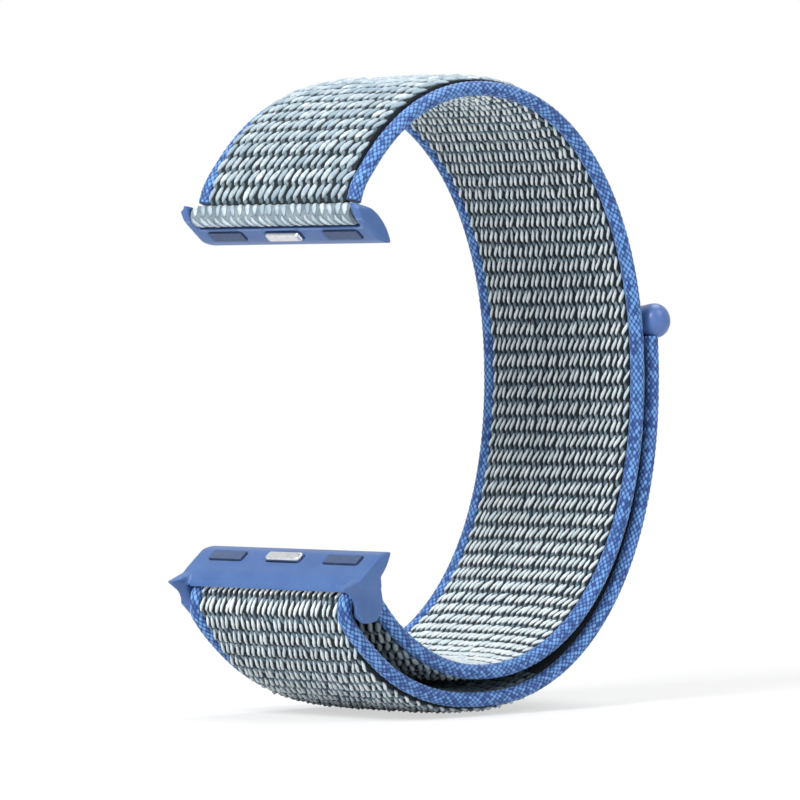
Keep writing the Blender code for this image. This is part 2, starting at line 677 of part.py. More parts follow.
def main():
    clear_scene()
    looks = {
        "weave": finish("woven nylon", (0.36, 0.47, 0.54), 0.9),
        "lining": finish("loop lining", (0.30, 0.42, 0.50), 0.95),
        "cord": finish("braided edge", (0.10, 0.26, 0.55), 0.8),
        "hook": finish("hook tape", (0.06, 0.10, 0.16), 0.6),
        "plastic": finish("satin lug", (0.11, 0.23, 0.55), 0.4),
        "tab": finish("satin tab", (0.12, 0.20, 0.48), 0.35),
        "steel": finish("steel", (0.62, 0.63, 0.65), 0.3, 1.0),
        "rubber": finish("soft pad", (0.05, 0.08, 0.16), 0.7),
    }

    crown = make_pivot("crown_flex_pivot", ROUTE.world(CROWN_FLEX, 0.0, HALF_THICKNESS + SWELL))
    front = make_pivot("front_flex_pivot", ROUTE.world(FRONT_FLEX, 0.0, HALF_THICKNESS + SWELL), crown)
    upper = make_pivot("upper_lug_pivot", Vector((0.0, *PIN_CENTRE)), front)
    lower = make_pivot("lower_lug_pivot", Vector((0.0, *CROSSBAR_CENTRE)))
    upper_latch = make_pivot("upper_latch_slide", UPPER.point(LATCH_OFFSET, LAND_HEIGHT), upper)
    lower_latch = make_pivot("lower_latch_slide", LOWER.point(LATCH_OFFSET, LAND_HEIGHT), lower)

    add_upper_lug(looks, upper, upper_latch)
    add_lower_lug(looks, lower, lower_latch)
    add_anchor(looks, front)

    gap = CLEARANCE / 2
    double = (("outer_weave", outer_weave_outline, "weave"), ("inner_lining", inner_lining_outline, "lining"))
    single = (("weave", whole_weave_outline, "weave"),)
    hooked = (("weave", hooked_weave_outline, "weave"), ("hook_patch", hook_outline, "hook"))
    make_stretch("front", 0.0, FRONT_FLEX - gap, double, looks, front)
    make_stretch("crown", FRONT_FLEX + gap, CROWN_FLEX - gap, double, looks, crown)
    make_stretch("back", CROWN_FLEX + gap, TURN_START - gap, double, looks, None)
    make_stretch("turn", TURN_START + gap, TURN_END - gap, single, looks, None, TURN_STEP)
    make_stretch("tail_root", TURN_END + gap, PEEL_START - gap, single, looks, None)
    parent = None
    for index in range(PEEL_JOINTS):
        start = PEEL_START + PEEL_LENGTH * index
        place = ROUTE.world(start, 0.0, -HALF_THICKNESS - SWELL)
        parent = make_pivot(f"peel_pivot_{index + 1}", place, parent)
        end = start + PEEL_LENGTH - (gap if index < PEEL_JOINTS - 1 else 0.0)
        make_stretch(f"tail_{index + 1}", start + gap, end, hooked, looks, parent)
    add_tab(looks, parent)
    for name, lug in (("upper", UPPER), ("lower", LOWER)):
        print(name, "seat normal", [round(value, 5) for value in lug.seat])
        seat = lug.point(LATCH_OFFSET, LAND_HEIGHT, (BUTTON_LENGTH + PAD_PLACE) / 2)
        print(name, "seat point", [round(value, 6) for value in seat - BOX_MIDDLE])


main()
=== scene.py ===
# %% [markdown]
# # A hook and loop watch strap
# The real strap is one long piece of woven nylon. It is sewn round a pin in the upper lug, runs
# once round the wrist, folds back through the lower lug and sticks to itself. This lesson dresses
# a finished mechanical model of it: the joints and the main sizes are fixed, and every cell adds
# the surface that the eye sees, such as the rows of stitches, the braided edges and the satin lugs.

# %% Load the fixed frame
import json
import math

import bpy
import numpy as np
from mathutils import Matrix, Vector

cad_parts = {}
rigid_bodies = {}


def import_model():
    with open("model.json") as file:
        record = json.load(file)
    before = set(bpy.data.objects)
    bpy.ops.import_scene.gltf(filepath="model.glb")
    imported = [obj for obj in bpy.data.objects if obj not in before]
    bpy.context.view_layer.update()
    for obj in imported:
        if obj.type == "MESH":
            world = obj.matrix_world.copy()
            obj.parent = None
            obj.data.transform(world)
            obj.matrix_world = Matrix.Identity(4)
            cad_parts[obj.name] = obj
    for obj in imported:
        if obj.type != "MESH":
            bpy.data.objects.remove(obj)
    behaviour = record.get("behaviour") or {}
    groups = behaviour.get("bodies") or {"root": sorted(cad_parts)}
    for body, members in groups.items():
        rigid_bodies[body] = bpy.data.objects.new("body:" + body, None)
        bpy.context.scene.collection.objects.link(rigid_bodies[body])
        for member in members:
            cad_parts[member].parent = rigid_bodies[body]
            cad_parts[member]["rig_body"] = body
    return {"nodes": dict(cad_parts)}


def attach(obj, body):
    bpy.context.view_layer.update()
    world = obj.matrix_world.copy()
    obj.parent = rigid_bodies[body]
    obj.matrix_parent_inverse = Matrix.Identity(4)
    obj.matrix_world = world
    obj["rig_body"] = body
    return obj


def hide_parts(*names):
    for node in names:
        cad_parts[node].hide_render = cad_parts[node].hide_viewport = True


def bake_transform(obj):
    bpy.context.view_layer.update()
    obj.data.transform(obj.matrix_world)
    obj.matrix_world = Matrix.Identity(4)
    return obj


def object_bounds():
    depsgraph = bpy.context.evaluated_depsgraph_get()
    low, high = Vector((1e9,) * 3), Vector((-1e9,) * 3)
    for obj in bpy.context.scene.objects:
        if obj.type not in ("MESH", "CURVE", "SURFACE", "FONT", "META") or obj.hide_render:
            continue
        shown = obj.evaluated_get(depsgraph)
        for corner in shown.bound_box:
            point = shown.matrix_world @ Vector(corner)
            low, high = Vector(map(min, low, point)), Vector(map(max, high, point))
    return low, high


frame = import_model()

CAD_LOW, CAD_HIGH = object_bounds()
NODES = frame["nodes"]

# %% [markdown]
# ## The sizes
# All lengths are metres. A place on the strap is given by the distance run along its centre line,
# starting at the upper lug, and by how far it lies to the left of that line. Left is the face that
# turns outwards on the loop. These are the same numbers that the mechanical model was made from.
# The two tucks are this lesson's own: the cloth runs that far into the sleeve and into the tab.

# %% Sizes of the band, the loop and the lugs
MM = 0.001
BAND_WIDTH = 22.0 * MM
CORD_RADIUS = 0.725 * MM
CORD_PLACE = BAND_WIDTH / 2 - CORD_RADIUS
CLEARANCE = 0.3 * MM
WEAVE_HALF_WIDTH = CORD_PLACE - CORD_RADIUS - CLEARANCE
BAND_THICKNESS = 2.1 * MM
TURN_THICKNESS = 1.3 * MM
NECK_THICKNESS = 1.5 * MM
TAPER_LENGTH = 6.0 * MM
SWELL = 0.5 * MM
CROWN_SHARE = 0.28
FALL_START, FALL_MOST = 0.5, 1.1

LOOP_HALF_DEPTH, LOOP_HALF_HEIGHT = 24.4 * MM, 29.8 * MM
CROWN_ROUND_SHARE, BACK_ROUND_SHARE = 0.952, 0.935
FRONT_ROUND_SHARE, TAIL_FRONT_ROUND_SHARE = 0.985, 0.840
TAIL_SAG = 0.4 * MM
TAIL_HALF_DEPTH = LOOP_HALF_DEPTH + BAND_THICKNESS + CLEARANCE
TAIL_HALF_HEIGHT = LOOP_HALF_HEIGHT + BAND_THICKNESS + CLEARANCE + TAIL_SAG
NECK_ANGLE, LEAVING_ANGLE = 141.0, -124.0
TAIL_START_ANGLE, TAIL_END_ANGLE = -124.0, 6.0
OVAL_STEPS, ROUTE_SAMPLES = 40, 4000

LUG_REACH, LUG_SPREAD, LUG_DROP = 18.9 * MM, 17.4 * MM, 1.6 * MM
LUG_TILT = 37.7
PIN_OFFSET = 1.5 * MM
NOTCH_RADIUS = 1.35 * MM
CROSSBAR_DROP = 3.8 * MM
TURN_RADIUS = 2.1 * MM
TURN_STEP = 0.6 * MM

CROWN_FLEX_ANGLE, FRONT_FLEX_ANGLE, PEEL_START_ANGLE = 27.0, 83.0, -72.0
PEEL_JOINTS = 4
TAB_LENGTH, TAB_THICKNESS, TAB_WIDTH, TAB_LIFT = 3.7 * MM, 3.4 * MM, 22.6 * MM, 1.0 * MM
BOX_MIDDLE = np.array([0.0, 2.918 * MM, -1.4 * MM])
TAIL_TUCK = 1.0 * MM
SLEEVE_TUCK = 0.4 * MM

# %% [markdown]
# ## The line that the strap follows
# Everything woven is first made flat, as a weaver would, and then laid on this line. So a stitch
# stays the same size wherever the strap bends. The line is two rounded ovals, one for the loop and
# one for the tail that lies outside it, joined by a small turn round the crossbar.

# %% The strap's centre line
def turned(direction, degrees):
    angle = math.radians(degrees)
    y, z = direction
    cosine, sine = math.cos(angle), math.sin(angle)
    return np.array([y * cosine - z * sine, y * sine + z * cosine])


def oval_point(degrees, half_depth, half_height, round_share):
    angle = math.radians(degrees)
    y = math.copysign(abs(math.cos(angle)) ** round_share, math.cos(angle)) * half_depth
    z = math.copysign(abs(math.sin(angle)) ** round_share, math.sin(angle)) * half_height
    return np.array([y, z])


def loop_point(degrees):
    share = FRONT_ROUND_SHARE
    if degrees > 90.0:
        share = CROWN_ROUND_SHARE
    elif degrees > -90.0:
        share = BACK_ROUND_SHARE
    return oval_point(degrees, LOOP_HALF_DEPTH, LOOP_HALF_HEIGHT, share)


def tail_point(degrees):
    share = BACK_ROUND_SHARE if degrees > -90.0 else TAIL_FRONT_ROUND_SHARE
    return oval_point(degrees, TAIL_HALF_DEPTH, TAIL_HALF_HEIGHT, share)


UPPER_MIDDLE = np.array([-LUG_REACH, LUG_SPREAD - LUG_DROP])
LOWER_MIDDLE = np.array([-LUG_REACH, -LUG_SPREAD - LUG_DROP])
PIN_CENTRE = UPPER_MIDDLE - turned((1.0, 0.0), -LUG_TILT) * PIN_OFFSET
CROSSBAR_CENTRE = LOWER_MIDDLE - np.array([0.0, CROSSBAR_DROP])


def tangent_angle(outside, before):
    """Where a line from a point outside touches the turn round the crossbar, in degrees about it."""
    way = outside - CROSSBAR_CENTRE
    spread = math.degrees(math.acos(TURN_RADIUS / np.linalg.norm(way)))
    bearing = math.degrees(math.atan2(way[1], way[0]))
    return bearing + spread if before else bearing - spread


neck = loop_point(NECK_ANGLE)
away = (neck - PIN_CENTRE) / np.linalg.norm(neck - PIN_CENTRE)
knots = [PIN_CENTRE + away * NOTCH_RADIUS]
for step in range(OVAL_STEPS + 1):
    knots.append(loop_point(NECK_ANGLE + (LEAVING_ANGLE - NECK_ANGLE) * step / OVAL_STEPS))
TURN_FIRST = len(knots)
first = tangent_angle(knots[-1], before=True)
last = tangent_angle(tail_point(TAIL_START_ANGLE), before=False) % 360.0
turn_steps = round(math.radians(last - first) * TURN_RADIUS / TURN_STEP)
for step in range(turn_steps + 1):
    bearing = first + (last - first) * step / turn_steps
    knots.append(CROSSBAR_CENTRE + turned((TURN_RADIUS, 0.0), bearing))
TURN_LAST = len(knots) - 1
for step in range(OVAL_STEPS + 1):
    knots.append(tail_point(TAIL_START_ANGLE + (TAIL_END_ANGLE - TAIL_START_ANGLE) * step / OVAL_STEPS))
onward = (knots[-1] - knots[-2]) / np.linalg.norm(knots[-1] - knots[-2])
knots.append(knots[-1] + onward * TAIL_TUCK)

LINE = np.array(knots)
RUNS = np.concatenate([[0.0], np.cumsum(np.linalg.norm(np.diff(LINE, axis=0), axis=1))])
SLOPES = np.gradient(LINE, RUNS, axis=0)


def line_at(runs):
    """The line's place and its left-hand normal, as (Y, Z) pairs, at many runs at once."""
    runs = np.asarray(runs, float)
    span = np.clip(np.searchsorted(RUNS, runs) - 1, 0, len(RUNS) - 2)
    length = (RUNS[span + 1] - RUNS[span])[:, None]
    share = (runs[:, None] - RUNS[span][:, None]) / length
    ease = share * share * (3.0 - 2.0 * share)
    place = LINE[span] + (LINE[span + 1] - LINE[span]) * ease
    place = place + SLOPES[span] * share * (1.0 - share) ** 2 * length
    place = place + SLOPES[span + 1] * share * share * (share - 1.0) * length
    way = SLOPES[span] * (1.0 - share) + SLOPES[span + 1] * share
    way = way / np.linalg.norm(way, axis=1)[:, None]
    return place, np.stack([-way[:, 1], way[:, 0]], axis=1)


def run_near(point):
    runs = np.linspace(0.0, RUNS[-1], ROUTE_SAMPLES)
    return float(runs[np.argmin(np.linalg.norm(line_at(runs)[0] - point, axis=1))])


TURN_START, TURN_END, STRAP_END = RUNS[TURN_FIRST] - CLEARANCE, RUNS[TURN_LAST], RUNS[-2]
FRONT_FLEX = run_near(loop_point(FRONT_FLEX_ANGLE))
CROWN_FLEX = run_near(loop_point(CROWN_FLEX_ANGLE))
PEEL_START = run_near(tail_point(PEEL_START_ANGLE))
PEEL_LENGTH = (STRAP_END - PEEL_START) / PEEL_JOINTS
print(f"strap {STRAP_END / MM:.1f} mm, turn at {TURN_START / MM:.1f}, peel from {PEEL_START / MM:.1f}")

# %% [markdown]
# ## The two faces
# The outer face swells in the middle of its width and falls towards the edges, because the padding
# is thickest there. These functions give the height of each face above the centre line.

# %% Face heights
def half_thickness(runs):
    thin = np.full_like(runs, TURN_THICKNESS / 2)
    away = np.zeros_like(runs)
    early = runs < RUNS[TURN_FIRST] / 2
    thin[early] = NECK_THICKNESS / 2
    away[early] = runs[early]
    middle = ~early & (runs < TURN_START)
    away[middle] = TURN_START - runs[middle]
    late = runs > TURN_END
    away[late] = runs[late] - TURN_END
    return thin + (BAND_THICKNESS / 2 - thin) * np.clip(away / TAPER_LENGTH, 0.0, 1.0)


def swell(runs):
    away = np.where(runs < TURN_START, np.minimum(runs, CROWN_FLEX + TAPER_LENGTH - runs), runs - TURN_END)
    return SWELL * np.clip(away / TAPER_LENGTH, 0.0, 1.0)


def fall(x):
    """The share of the face's drop at a place across the weave: none in the middle, all at the edge."""
    share = (np.abs(x) / WEAVE_HALF_WIDTH - FALL_START) / (1.0 - FALL_START)
    return np.clip(share, 0.0, FALL_MOST) ** 2


def face_height(x, runs, left_side):
    """A face's height above the centre line: the left one swells on the loop, the right on the tail."""
    half = half_thickness(runs)
    on_loop = runs < TURN_START
    extra = np.where(on_loop == left_side, swell(runs), 0.0)
    return half + extra - half * CROWN_SHARE * fall(x)


# %% [markdown]
# ## Small helpers
# An operator works on whatever is selected, so each piece starts with nothing selected. A finished
# piece keeps its object at the origin and its shape in its mesh.

# %% Helpers for making pieces
def select_only(piece):
    bpy.ops.object.select_all(action="DESELECT")
    piece.select_set(True)
    bpy.context.view_layer.objects.active = piece


def named(name):
    piece = bpy.context.object
    piece.name = piece.data.name = name
    return piece


def edit(piece, *steps):
    """Runs edit-mode steps with all of the piece selected."""
    select_only(piece)
    bpy.ops.object.mode_set(mode="EDIT")
    bpy.ops.mesh.select_all(action="SELECT")
    for operator, values in steps:
        operator(**values)
    bpy.ops.object.mode_set(mode="OBJECT")


def apply_all(piece):
    select_only(piece)
    for modifier in list(piece.modifiers):
        bpy.ops.object.modifier_apply(modifier=modifier.name)


def points_of(piece):
    flat = np.empty(len(piece.data.vertices) * 3)
    piece.data.vertices.foreach_get("co", flat)
    return flat.reshape(-1, 3)


def set_points(piece, points):
    piece.data.vertices.foreach_set("co", np.ascontiguousarray(points).ravel())
    piece.data.update()


def lay_on_line(piece, left):
    """Takes a flat piece (x, run, height) to the strap's line, each point that far to the line's left."""
    points = points_of(piece)
    place, normal = line_at(points[:, 1])
    points[:, 1:] = place + normal * left[:, None]
    set_points(piece, points - BOX_MIDDLE)


def smooth(piece, degrees=180.0):
    select_only(piece)
    bpy.ops.object.shade_smooth_by_angle(angle=math.radians(degrees))


def triangles(piece):
    piece.data.calc_loop_triangles()
    return len(piece.data.loop_triangles)


# %% [markdown]
# ## Shared surface effects
# Some effects come back in several finishes, so each is a node group with its own inputs: soft
# colour mottling, the fine strands along a yarn, the ramp that paints a yarn dark where it sinks
# into the ground (painted shade), the thin threads of the ground, the grain of moulded plastic,
# and edges painted a little lighter where the surface is pointed.

# %% Node groups for the shared effects
def new_group(name, inputs, outputs):
    group = bpy.data.node_groups.new(name, "ShaderNodeTree")
    for title, kind, value in inputs:
        socket = group.interface.new_socket(title, in_out="INPUT", socket_type=kind)
        if value is not None:
            socket.default_value = value
    for title, kind in outputs:
        group.interface.new_socket(title, in_out="OUTPUT", socket_type=kind)
    enter, leave = group.nodes.new("NodeGroupInput"), group.nodes.new("NodeGroupOutput")
    return group, enter, leave


def node(tree, kind, **values):
    made = tree.nodes.new(kind)
    for key, value in values.items():
        setattr(made, key, value)
    return made


def feed(tree, socket, value):
    """Links a socket to another one, or sets its own value."""
    if isinstance(value, bpy.types.NodeSocket):
        tree.links.new(value, socket)
    elif value is not None:
        socket.default_value = value


def opaque(colour):
    return (*colour, 1.0)


def math_node(tree, operation, first, second=None):
    made = node(tree, "ShaderNodeMath", operation=operation)
    feed(tree, made.inputs[0], first)
    feed(tree, made.inputs[1], second)
    return made.outputs[0]


def mix_colour(tree, share, dark, light):
    made = node(tree, "ShaderNodeMix", data_type="RGBA")
    for slot, value in (("Factor", share), ("A", dark), ("B", light)):
        feed(tree, next(item for item in made.inputs if item.name == slot and item.enabled), value)
    return next(item for item in made.outputs if item.enabled)


NUMBER, COLOUR = "NodeSocketFloat", "NodeSocketColor"
MOTTLE_GAIN, MOTTLE_SHIFT = 2.4, -0.7
MOTTLE, enter, leave = new_group(
    "Mottling",
    (("Dark", COLOUR, None), ("Light", COLOUR, None), ("Scale", NUMBER, 400.0)),
    (("Color", COLOUR), ("Mask", NUMBER)),
)
where = node(MOTTLE, "ShaderNodeTexCoord")
cloud = node(MOTTLE, "ShaderNodeTexNoise")
cloud.inputs["Detail"].default_value = 4.0
cloud.inputs["Roughness"].default_value = 0.6
MOTTLE.links.new(where.outputs["Object"], cloud.inputs["Vector"])
MOTTLE.links.new(enter.outputs["Scale"], cloud.inputs["Scale"])
spread = math_node(MOTTLE, "MULTIPLY_ADD", cloud.outputs["Fac"], MOTTLE_GAIN)
spread.node.inputs[2].default_value = MOTTLE_SHIFT
spread.node.use_clamp = True
blended = mix_colour(MOTTLE, spread, enter.outputs["Dark"], enter.outputs["Light"])
MOTTLE.links.new(blended, leave.inputs["Color"])
MOTTLE.links.new(spread, leave.inputs["Mask"])

STRANDS, enter, leave = new_group(
    "Strands along a yarn",
    (("Count", NUMBER, 9.0), ("Twist", NUMBER, 0.6)),
    (("Height", NUMBER),),
)
where = node(STRANDS, "ShaderNodeUVMap")
split = node(STRANDS, "ShaderNodeSeparateXYZ")
STRANDS.links.new(where.outputs["UV"], split.inputs[0])
lean = math_node(STRANDS, "MULTIPLY", split.outputs["Y"], enter.outputs["Twist"])
round_yarn = math_node(STRANDS, "ADD", split.outputs["X"], lean)
phase = math_node(STRANDS, "MULTIPLY", round_yarn, enter.outputs["Count"])
wave = math_node(STRANDS, "SINE", math_node(STRANDS, "MULTIPLY", phase, math.tau))
STRANDS.links.new(math_node(STRANDS, "ABSOLUTE", wave), leave.inputs["Height"])

# This ramp turns a height into a share: where the height is low, a finish puts in its painted shade.
PAINTED_SHADE_RAMP, enter, leave = new_group(
    "Painted shade ramp",
    (("Height", NUMBER, 0.5), ("From", NUMBER, 0.0), ("To", NUMBER, 1.0)),
    (("Mask", NUMBER),),
)
ramp = node(PAINTED_SHADE_RAMP, "ShaderNodeMapRange", interpolation_type="SMOOTHSTEP")
for title, source in (("Value", "Height"), ("From Min", "From"), ("From Max", "To")):
    PAINTED_SHADE_RAMP.links.new(enter.outputs[source], ramp.inputs[title])
PAINTED_SHADE_RAMP.links.new(ramp.outputs["Result"], leave.inputs["Mask"])

THREADS, enter, leave = new_group(
    "Threads across",
    (("Scale", NUMBER, 1.6), ("Distortion", NUMBER, 0.8)),
    (("Height", NUMBER),),
)
where = node(THREADS, "ShaderNodeUVMap")
rows = node(THREADS, "ShaderNodeTexWave", wave_type="BANDS", bands_direction="Y")
THREADS.links.new(where.outputs["UV"], rows.inputs["Vector"])
THREADS.links.new(enter.outputs["Scale"], rows.inputs["Scale"])
THREADS.links.new(enter.outputs["Distortion"], rows.inputs["Distortion"])
THREADS.links.new(rows.outputs["Fac"], leave.inputs["Height"])

GRAIN, enter, leave = new_group("Moulded grain", (("Scale", NUMBER, 9000.0),), (("Height", NUMBER),))
where = node(GRAIN, "ShaderNodeTexCoord")
specks = node(GRAIN, "ShaderNodeTexNoise")
GRAIN.links.new(where.outputs["Object"], specks.inputs["Vector"])
GRAIN.links.new(enter.outputs["Scale"], specks.inputs["Scale"])
GRAIN.links.new(specks.outputs["Fac"], leave.inputs["Height"])

# Edges are painted a little lighter where the surface is most pointed.
LIGHTER_EDGE, enter, leave = new_group(
    "Lighter edge",
    (("Base", COLOUR, None), ("Worn", COLOUR, None), ("From", NUMBER, 0.53), ("To", NUMBER, 0.64)),
    (("Color", COLOUR),),
)
geometry = node(LIGHTER_EDGE, "ShaderNodeNewGeometry")
ramp = node(LIGHTER_EDGE, "ShaderNodeMapRange")
LIGHTER_EDGE.links.new(geometry.outputs["Pointiness"], ramp.inputs["Value"])
for title, source in (("From Min", "From"), ("From Max", "To")):
    LIGHTER_EDGE.links.new(enter.outputs[source], ramp.inputs[title])
blended = mix_colour(LIGHTER_EDGE, ramp.outputs["Result"], enter.outputs["Base"], enter.outputs["Worn"])
LIGHTER_EDGE.links.new(blended, leave.inputs["Color"])
print("node groups:", [group.name for group in (MOTTLE, STRANDS, PAINTED_SHADE_RAMP, THREADS, GRAIN, LIGHTER_EDGE)])

# %% [markdown]
# ## Finishes of the cloth
# The cloth is light aqua-grey yarn over a ground painted nearly black, which is painted shade for
# each gap between two stitches. Every stitch carries two numbers: "yarn" is its own shade, and
# "rise" is how far a point stands out of the ground. Where the rise is low, at the sides, the sunk
# ends and the lower end of a tilted stitch, the yarn is painted dark: painted shade.

# %% Make a finish
def finish(name, roughness, metallic=0.0):
    material = bpy.data.materials.new(name)
    material.use_nodes = True
    shader = material.node_tree.nodes["Principled BSDF"]
    shader.inputs["Roughness"].default_value = roughness
    shader.inputs["Metallic"].default_value = metallic
    return material, material.node_tree, shader


def effect(tree, group, **values):
    """Places a shared effect in a material, with this material's own values."""
    made = node(tree, "ShaderNodeGroup", node_tree=group)
    for title, value in values.items():
        feed(tree, made.inputs[title], value)
    return made


def mottled(tree, dark, light, scale):
    return effect(tree, MOTTLE, Dark=dark, Light=light, Scale=scale)


def bump(tree, shader, height, strength, distance):
    made = node(tree, "ShaderNodeBump")
    made.inputs["Strength"].default_value = strength
    made.inputs["Distance"].default_value = distance
    tree.links.new(height, made.inputs["Height"])
    tree.links.new(made.outputs["Normal"], shader.inputs["Normal"])


def number_of(tree, name):
    return node(tree, "ShaderNodeAttribute", attribute_name=name).outputs["Fac"]


def yarn_finish(name, root, dark, light, count):
    """A yarn: painted near black where its rise is low, as painted shade, its own shade on top, mottled, with
    strands along it.
    """
    material, tree, shader = finish(name, roughness=0.7)
    shade = mix_colour(tree, number_of(tree, "yarn"), opaque(dark), opaque(light))
    cloud = mottled(tree, opaque(dark), shade, scale=1400.0)
    # Where a point's rise is low, the yarn turns near black: painted shade at the base and sides of each
    # stitch.
    painted_shade_mask = effect(tree, PAINTED_SHADE_RAMP, Height=number_of(tree, "rise"), From=0.44, To=0.76)
    colour = mix_colour(tree, painted_shade_mask.outputs["Mask"], opaque(root), cloud.outputs["Color"])
    tree.links.new(colour, shader.inputs["Base Color"])
    strands = effect(tree, STRANDS, Count=count)
    bump(tree, shader, strands.outputs["Height"], strength=0.6, distance=0.03 * MM)
    shader.inputs["Sheen Weight"].default_value = 0.1
    shader.inputs["Specular IOR Level"].default_value = 0.3
    return material


# Each yarn's first colour, near black, is its painted shade where a stitch meets the ground.
FACE_YARN = yarn_finish(
    "Face yarn", root=(0.002, 0.005, 0.008), dark=(0.27, 0.36, 0.42), light=(0.74, 0.80, 0.83), count=5.0)
LINING_YARN = yarn_finish(
    "Lining yarn", root=(0.003, 0.008, 0.013), dark=(0.66, 0.76, 0.80), light=(0.98, 0.99, 0.99), count=5.0)
TROUGH_YARN = yarn_finish(
    "Trough yarn", root=(0.004, 0.010, 0.015), dark=(0.06, 0.10, 0.14), light=(0.30, 0.40, 0.46), count=4.0)
# The low yarn is darker than the face yarn; where it covers the tail's side that faces the band, it is
# painted shade.
LOW_YARN = yarn_finish(
    "Low yarn", root=(0.003, 0.008, 0.012), dark=(0.06, 0.10, 0.13), light=(0.24, 0.33, 0.37), count=4.0)


def ground_finish(name, dark, light):
    """The cloth under the stitches: thin threads in two given colours, with rows of them running across."""
    material, tree, shader = finish(name, roughness=0.9)
    cloud = mottled(tree, opaque(dark), opaque(light), scale=700.0)
    tree.links.new(cloud.outputs["Color"], shader.inputs["Base Color"])
    threads = effect(tree, THREADS, Scale=1.6, Distortion=0.8)
    bump(tree, shader, threads.outputs["Height"], strength=0.8, distance=0.08 * MM)
    return material


# The ground's near-black colour is painted shade, for the deep gaps between stitches.
SHADED_GROUND = ground_finish("Dark ground", (0.002, 0.005, 0.008), (0.008, 0.018, 0.025))
HOOK_TAPE = ground_finish("Hook tape", (0.02, 0.045, 0.10), (0.05, 0.09, 0.17))
SLEEVE_CLOTH = ground_finish("Sleeve cloth", (0.10, 0.14, 0.17), (0.26, 0.32, 0.36))
print("cloth finishes:", FACE_YARN.name, LINING_YARN.name, TROUGH_YARN.name, SHADED_GROUND.name)

# %% [markdown]
# ## The ground cloth
# Under the stitches lies a plain padded band. It is a grid, extruded into a slab while it is flat,
# whose two faces then take their heights from the face functions, a little below the stitches.

# %% Weave the ground of one stretch
GROUND_DEPTH = 0.30 * MM
GROUND_HALF_WIDTH = WEAVE_HALF_WIDTH + 0.2 * MM
RIB_COUNT = 14
GROUND_STEP = 0.8 * MM
CREASE_ANGLE = 50.0


def slab_on_line(name, start, end, half_width, heights, material):
    """A slab from run to run; heights(x, runs) gives how far its two faces lie to the left."""
    rows = max(2, round((end - start) / GROUND_STEP))
    bpy.ops.object.select_all(action="DESELECT")
    bpy.ops.mesh.primitive_grid_add(x_subdivisions=RIB_COUNT, y_subdivisions=rows, size=1.0)
    slab = named(name)
    edit(slab, (bpy.ops.transform.resize, {"value": (2 * half_width, end - start, 1.0)}),
         (bpy.ops.transform.translate, {"value": (0.0, (start + end) / 2, -0.5)}),
         (bpy.ops.mesh.extrude_region_move, {"TRANSFORM_OT_translate": {"value": (0.0, 0.0, 1.0)}}),
         (bpy.ops.mesh.select_all, {"action": "SELECT"}),
         (bpy.ops.mesh.normals_make_consistent, {"inside": False}))
    points = points_of(slab)
    layer = slab.data.uv_layers.active
    for loop in slab.data.loops:
        x, run, _ = points[loop.vertex_index]
        layer.data[loop.index].uv = (x / MM, run / MM)
    upper, lower = heights(points[:, 0], points[:, 1])
    lay_on_line(slab, np.where(points[:, 2] > 0.0, upper, lower))
    slab.data.materials.append(material)
    smooth(slab, CREASE_ANGLE)
    return slab


def ground_heights(x, runs):
    return face_height(x, runs, True) - GROUND_DEPTH, GROUND_DEPTH - face_height(x, runs, False)


# %% [markdown]
# ## The stitches
# One stitch is a grain of yarn: a ball drawn long, leaned over, curved like a shallow S and sunk at
# both ends. Two Array modifiers copy it across the band and along it. Real looms are never exact,
# so each copy is then nudged, turned and fattened a little, from a seeded list of numbers. Every
# second stitch stands a little closer to its neighbour, because a knitted loop has two legs.
#
# Four kinds share this recipe. The outer face has large grains, with low dark ones between them.
# The lining has slim grains, with dark ones in the troughs between its rows. Between the turn and
# the hooks, the side that faces the band has the lining's grains in the low dark yarn, which there
# is painted shade for the gap between tail and band.

# %% Stitch a stretch of cloth
STITCH_SEGMENTS, STITCH_RINGS = 8, 6
STITCH_HALF_WIDTH = WEAVE_HALF_WIDTH + 0.3 * MM
FACE_STITCH = {
    "across": 1.03 * MM, "along": 1.65 * MM, "length": 1.96 * MM, "width": 0.60 * MM, "height": 0.72 * MM,
    "lean": 22.0, "curl": 0.09 * MM, "pair": 0.04 * MM,
    "shift": 0.25, "start": 0.5, "tilt": 0.0, "sink": 0.45}
LINING_STITCH = {
    "across": 0.73 * MM, "along": 1.75 * MM, "length": 1.90 * MM, "width": 0.32 * MM, "height": 0.74 * MM,
    "lean": 15.0, "curl": -0.09 * MM, "pair": 0.04 * MM,
    "shift": 0.0, "start": 0.42, "tilt": 0.22, "sink": 0.8}
TROUGH_STITCH = {
    "across": 0.73 * MM, "along": 1.75 * MM, "length": 1.15 * MM, "width": 0.38 * MM, "height": 0.50 * MM,
    "lean": -16.0, "curl": 0.0, "pair": 0.0,
    "shift": 0.0, "start": 0.0, "tilt": 0.0, "sink": 0.6}
LOW_STITCH = {
    "across": 1.03 * MM, "along": 1.65 * MM, "length": 0.90 * MM, "width": 0.46 * MM, "height": 0.44 * MM,
    "lean": -30.0, "curl": 0.0, "pair": 0.0,
    "shift": 0.25, "start": 0.0, "tilt": 0.0, "sink": 0.5}
WIDTH_SPREAD, HEIGHT_SPREAD, SHADE_SPREAD, LEAN_SPREAD = 0.10, 0.12, 0.28, 5.0
NUDGE_ACROSS, NUDGE_ALONG = 0.03 * MM, 0.05 * MM


